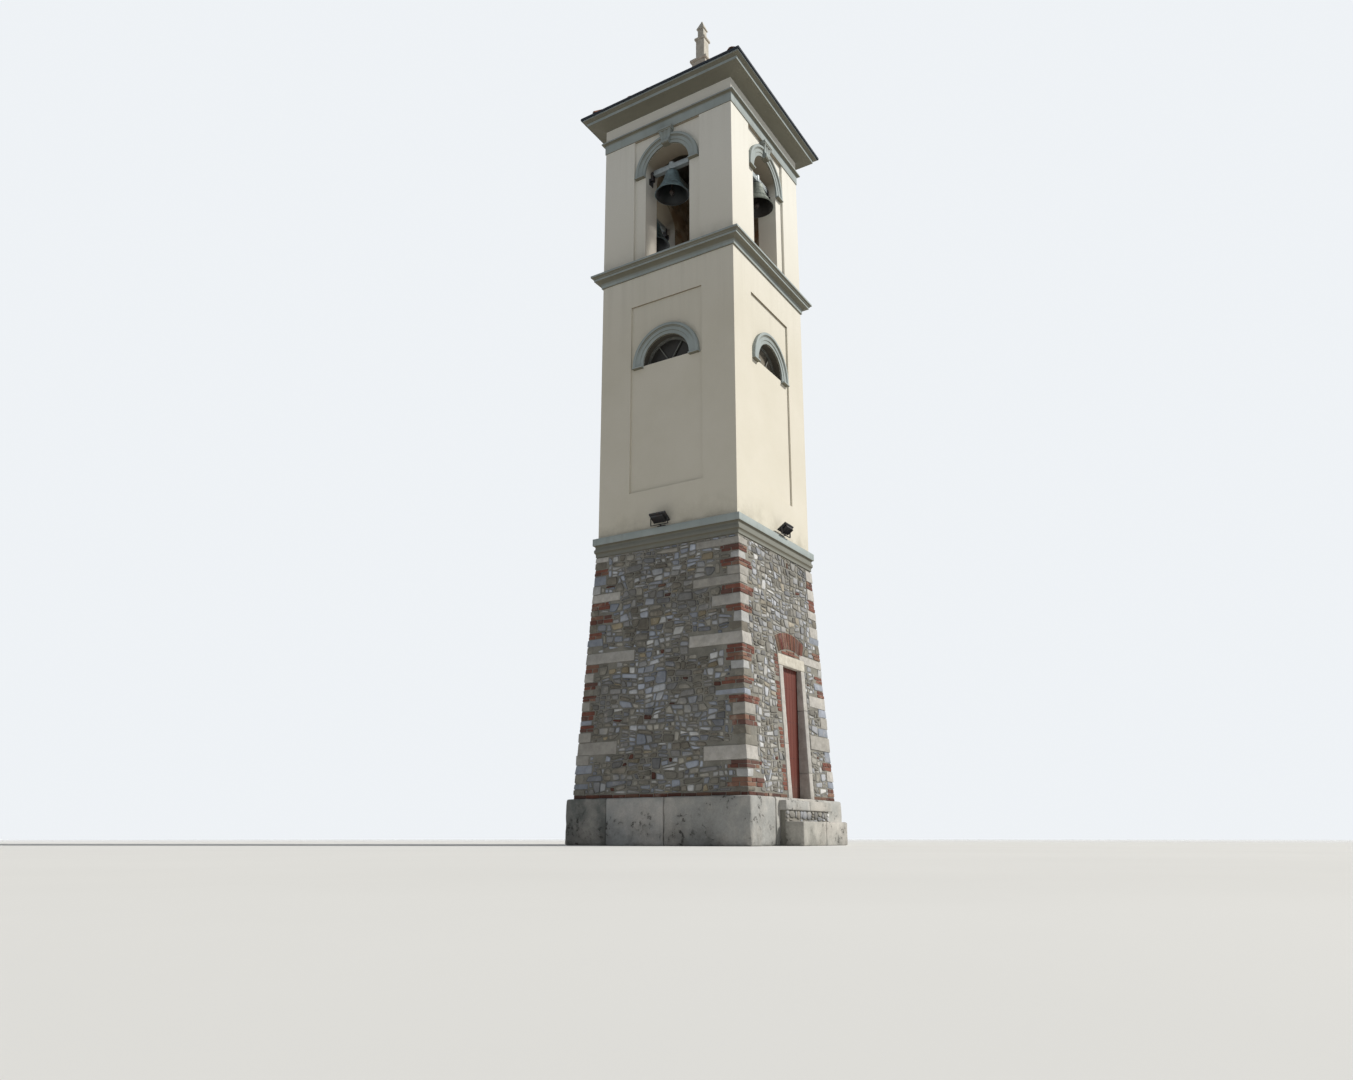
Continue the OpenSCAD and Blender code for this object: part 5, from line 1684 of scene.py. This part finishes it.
def bell_profile():
    """Radius and height from the inside of the crown down to the lip and up the outside."""
    profile = [(0, BELL_H - 0.036), (0.068, BELL_H - 0.037), (0.094, BELL_H - 0.050)]
    profile += [flare(t, -BELL_WALL * (1.0 if t < 0.75 else 1.1)) for t in INSIDE]
    profile += [(LIP_R - 0.016, 0.0), (LIP_R - 0.006, 0.002), (LIP_R, 0.009)]
    for t in sorted({i / LEVELS for i in range(1, LEVELS)} | set(LINES)):
        if t in LINES:
            profile += [flare(t - 0.006), flare(t, LINES[t]), flare(t + 0.006)]
        elif all(abs(t - line) > 0.012 for line in LINES):
            profile.append(flare(t))
    profile += [(r, BELL_H + up) for r, up in CROWN]
    return profile + [(CROWN[-1][0], CROWN_TOP), (0, CROWN_TOP)]


# %% Bells, yokes, clappers
BELL_AROUND, INSIDE_SHADE_ROWS, INSIDE_SHADE, GREY, BOLT_GREY = 72, 11, (0.10, 0.09, 0.09), (0.4,) * 3, (0.6,) * 3
EYE, AXLE = CLAPPER_Z - LIP_Z, YOKE_Z - LIP_Z
PIN_HALF = [(0.011, 0.030), (0.011, 0.0285), (0.009, 0.028)]
PIN = ([(0, -0.030)] + [(r, -h) for r, h in PIN_HALF]
       + [(r, h) for r, h in reversed(PIN_HALF)] + [(0, 0.030)])
CANON = [(0, -0.0555), (0.064, -0.0555), (0.066, -0.052), (0.066, 0.050), (0.0655, 0.058),
         (0.0655, 0.082), (0.064, 0.090), (0.058, 0.0955), (0.03, 0.099), (0, 0.100)]
YOKE_NUT = [(0, 0.0), (0.026, 0.0), (0.026, 0.012), (0, 0.0125)]
YOKE_BOLTS = [(x, f, z) for x in (0.30, 0.13) for f in (-1, 1) for z in (-0.028, 0.028)]
GUDGEON = [(0, 0.36), (0.034, 0.36), (0.034, 0.394), (0.030, 0.398), (0.0219, 0.399),
           (0.0219, 0.450), (0.020, 0.4525), (0, 0.4527)]
CLAPPER = [(0, -0.025), (0.013, -0.0245), (0.0168, -0.016), (0.0168, 0.012), (0.020, 0.018),
           (0.034, 0.026), (0.045, 0.043), (0.048, 0.060), (0.045, 0.077), (0.034, 0.094),
           (0.020, 0.104), (0.014, 0.116), (0.0125, 0.15), (0.0115, 0.24), (0.0125, EYE - 0.022),
           (0, EYE - 0.018)]
CLAPPER_EYE = [(0.0094, -0.0138), (0.0225, -0.0138), (0.024, -0.012), (0.024, 0.012),
               (0.0225, 0.0138), (0.0094, 0.0138), (0.0094, -0.0138)]


def cast_bell(place):
    bell = Shape()
    lathe(bell, bell_profile(), place, BELL_AROUND)
    # The rows inside the bell are tinted nearly black: painted shade.
    bell.tints[:BELL_AROUND * INSIDE_SHADE_ROWS] = [INSIDE_SHADE] * (BELL_AROUND * INSIDE_SHADE_ROWS)
    for x, y in circle(0.086, 6, 0.3):
        bolt(bell, fitted(place, (x, y, BELL_H + 0.024)), 0.012, 0.020, BOLT_GREY)
    for cheek in (-0.022, 0.022):
        worn_block(bell, (cheek - 0.006, -0.025, EYE - 0.018),
                   (cheek + 0.006, 0.025, BELL_H - 0.034), 0.003, 0.05, 0.0, place, tint=GREY)
    lathe(bell, PIN, fitted(place, (0, 0, EYE), OUT_X), 14, GREY)
    return bell


def yoke_beam(place):
    yoke, hung = Shape(), fitted(place, (0, 0, AXLE))
    worn_block(yoke, (-0.389, -0.045, -0.0552), (0.389, 0.045, 0.055), 0.007, 0.10, 0.0006, hung,
               0.1)
    lathe(yoke, CANON, hung, 36)
    lathe(yoke, YOKE_NUT, fitted(hung, (0, 0, 0.0865)), 6)
    for end in (-1, 1):
        worn_block(yoke, (end * 0.382 - 0.006, -0.043, -0.053), (end * 0.382 + 0.006, 0.043, 0.053),
                   0.002, 0.1, 0, hung, 0)
        lathe(yoke, GUDGEON, fitted(hung, (0, 0, 0), OUT_X, (end, 1, 1)), 24)
        for x, face, z in YOKE_BOLTS:
            at = (end * x, face * 0.0445, z)
            bolt(yoke, fitted(hung, at, OUT_Y, (1, face, 1)), 0.013, 0.010)
    return yoke


def forged_clapper(place):
    clapper = Shape()
    lathe(clapper, CLAPPER, place, 24)
    lathe(clapper, CLAPPER_EYE, fitted(place, (0, 0, EYE), OUT_X), 24)
    return clapper


for side, label, bronze, slot in ((FRONT, "front_", BELL_GREEN, "bell_green"),
                                  (WIDE, "left_", BELL_BLUE, "bell_bronze"),
                                  (BACK, "back_", BELL_BLUE, "bell_bronze")):
    body, clapper = label + "bell", label + "clapper"
    place = turner(side, -YOKE_OUT, LIP_Z)
    cast_bell(place).piece(body + "_cast", bronze, body, [body], slot, 32)
    yoke_beam(place).piece(label + "yoke_beam", YOKE_STEEL, body, [label + "yoke"], "yoke_steel",
                           35)
    forged_clapper(place).piece(clapper + "_forged", CLAPPER_IRON, clapper, [clapper],
                                "clapper_iron", 40)

# %% Bearings
BEARING_X, JAMB_X = 0.430, 0.4635
RIB = [(JAMB_X, 12.285), (JAMB_X, 12.361), (0.412, 12.361), (0.418, 12.350)]
COLLAR = [(0.010, 0.0), (0.019, 0.0), (0.019, 0.005), (0.014, 0.008), (0.010, 0.008), (0.010, 0.0)]
bearings = Shape()
for side, end in [(side, end) for side in (FRONT, WIDE, BACK) for end in (-1, 1)]:
    fixed = fitted(turner(side, -YOKE_OUT), (0, 0, 0), signs=(end, 1, 1))
    for y in (-0.030, 0.030):
        bolt(bearings, fitted(fixed, (BEARING_X, y, 12.5395)), 0.011, 0.014)
    for y, z in ((-0.044, 12.305), (0.044, 12.305), (-0.044, 12.342), (0.044, 12.342)):
        bolt(bearings, fitted(fixed, (JAMB_X, y, z), OUT_X, (-1, 1, 1)), 0.010, 0.010)
    bearings.add([fixed(x, y, z) for y in (-0.006, 0.006) for x, z in RIB], ring_faces(2, len(RIB)))
    for face in (-1, 1):
        at = (BEARING_X, face * 0.0415, YOKE_Z)
        lathe(bearings, COLLAR, fitted(fixed, at, OUT_Y, (1, face, 1)))
bearings.piece("bearing_fittings", IRON, slot="iron", smooth=35)
paint(IRON, "bell_bearings")

# %% [markdown]
# ## Floodlights
# Black lamps stand on the base cornice and on the front sill: a finned body tilted back in a
# bracket, and a rim with a lens.

# %% Lamps
FINS, LAMP_TILT, FULL_W = 9, math.radians(55), 0.32


def add_lamp(shape, lenses, side, along, out_at, z0, w, h, d, out):
    """One lamp on its bracket; the frame of the CAD lamp with its fins, rim and bolts."""
    axle, scale = h * 0.6 + 0.020, w / FULL_W
    c, s = math.cos(LAMP_TILT), math.sin(LAMP_TILT)
    stand = fitted(turner(side), (along, -out_at, z0))

    def head(x, y, z):
        return stand(x, -out + y * c - z * s, axle + y * s + z * c)

    def part(low, high, radius, cell=0.12, place=head, onto=shape):
        worn_block(onto, low, high, radius, cell, 0, place, 0)

    part((-w / 4, -0.018, 0.0), (w / 4, 0.018, 0.010), 0.003, 0.1, stand)
    part((-0.012, -out - 0.012, 0.009), (0.012, 0.012, 0.017), 0.002, 0.1, stand)
    part((-w / 2 - 0.014, -out - 0.012, 0.010), (w / 2 + 0.014, -out + 0.012, 0.018), 0.002, 0.12,
         stand)
    for end in (-1, 1):
        a, b = sorted((end * (w / 2 + 0.005), end * (w / 2 + 0.0145)))
        part((a, -out - 0.012, 0.010), (b, -out + 0.012, 0.010 + axle), 0.002, 0.1, stand)
        at = (end * (w / 2 + 0.012), -out, axle - 0.006)
        bolt(shape, fitted(stand, at, OUT_X, (end, 1, 1)), 0.010, 0.009)
        bolt(shape, fitted(stand, (end * w * 0.18, 0, 0.0095)), 0.009, 0.008)
    y0, y1, bar = -d * 0.1, d * 0.2, 0.016 * scale
    wide, tall = w / 2 + 0.004, h / 2
    part((-wide, y0, -tall), (wide, y1 - 0.008, tall), 0.010 * scale)
    for x0, z0, x1, z1 in ((-wide, -tall, wide, bar - tall), (-wide, tall - bar, wide, tall),
                           (-wide, bar - tall, bar - w / 2, tall - bar),
                           (w / 2 - bar, bar - tall, wide, tall - bar)):
        part((x0, y1 - 0.009, z0), (x1, y1, z1), 0.002)
    part((bar - w / 2, y1 - 0.010, bar - tall), (w / 2 - bar, y1 - 0.004, tall - bar), 0.001,
         onto=lenses)
    part((-w * 0.37, -d * 0.62, -h * 0.36), (w * 0.37, y0 + 0.004, h * 0.36), 0.012 * scale, 0.10)
    thin = 0.0018 * scale
    for k in range(FINS):
        x = -w * 0.34 + w * 0.68 * k / (FINS - 1)
        part((x - thin, -d * 0.70, -h * 0.34), (x + thin, -d * 0.3, h * 0.34), 0.0008, 0.2)


lamps, lenses = Shape(), Shape()
for side, along in ((WIDE, -0.04), (FRONT, 0.18)):
    add_lamp(lamps, lenses, side, along, 1.45, LEDGE_Z, FULL_W, 0.20, 0.10, 0.07)
add_lamp(lamps, lenses, FRONT, 0.225, 1.255, SILL_Z, 0.13, 0.09, 0.06, 0.02)
lamps.piece("floodlight_bodies", IRON, nodes=["floodlights"], slot="iron", smooth=35)
lenses.piece("floodlight_lenses", LENS, slot="iron", smooth=35)

# %% [markdown]
# ## Floor of the studio and the last line
# The floor isn't part of the tower. It fades out far from the tower, so that no edge shows.

# %% Studio floor
FLOOR_R, FADE_FROM, FADE_TO = 60, 14, 55


def studio_floor():
    f = Finish("studio_floor", Roughness=0.9)
    reach = f.node("ShaderNodeVectorMath", {0: f.place}, operation="LENGTH").outputs["Value"]
    cloud = f.patches(0.4, 4, 0.55, 0.3, 0.7)
    f.finish(f.mix(cloud, srgb(226, 226, 224), srgb(230, 230, 228)), 0.9)
    clear = f.node("ShaderNodeBsdfTransparent").outputs[0]
    fade = f.spread(reach, FADE_FROM, FADE_TO)
    both = f.node("ShaderNodeMixShader", {0: fade, 1: f.surface.outputs[0], 2: clear})
    f.feed(f.tree.nodes["Material Output"].inputs["Surface"], both.outputs[0])
    return f.material


floor_mesh = bpy.data.meshes.new("studio_floor")
floor_mesh.from_pydata([(x, y, 0) for x, y in circle(FLOOR_R, 64)], [], [list(range(64))])
floor_mesh.materials.append(studio_floor())
floor = bpy.data.objects.new("studio_floor", floor_mesh)
scene.collection.objects.link(floor)
print("floor laid")
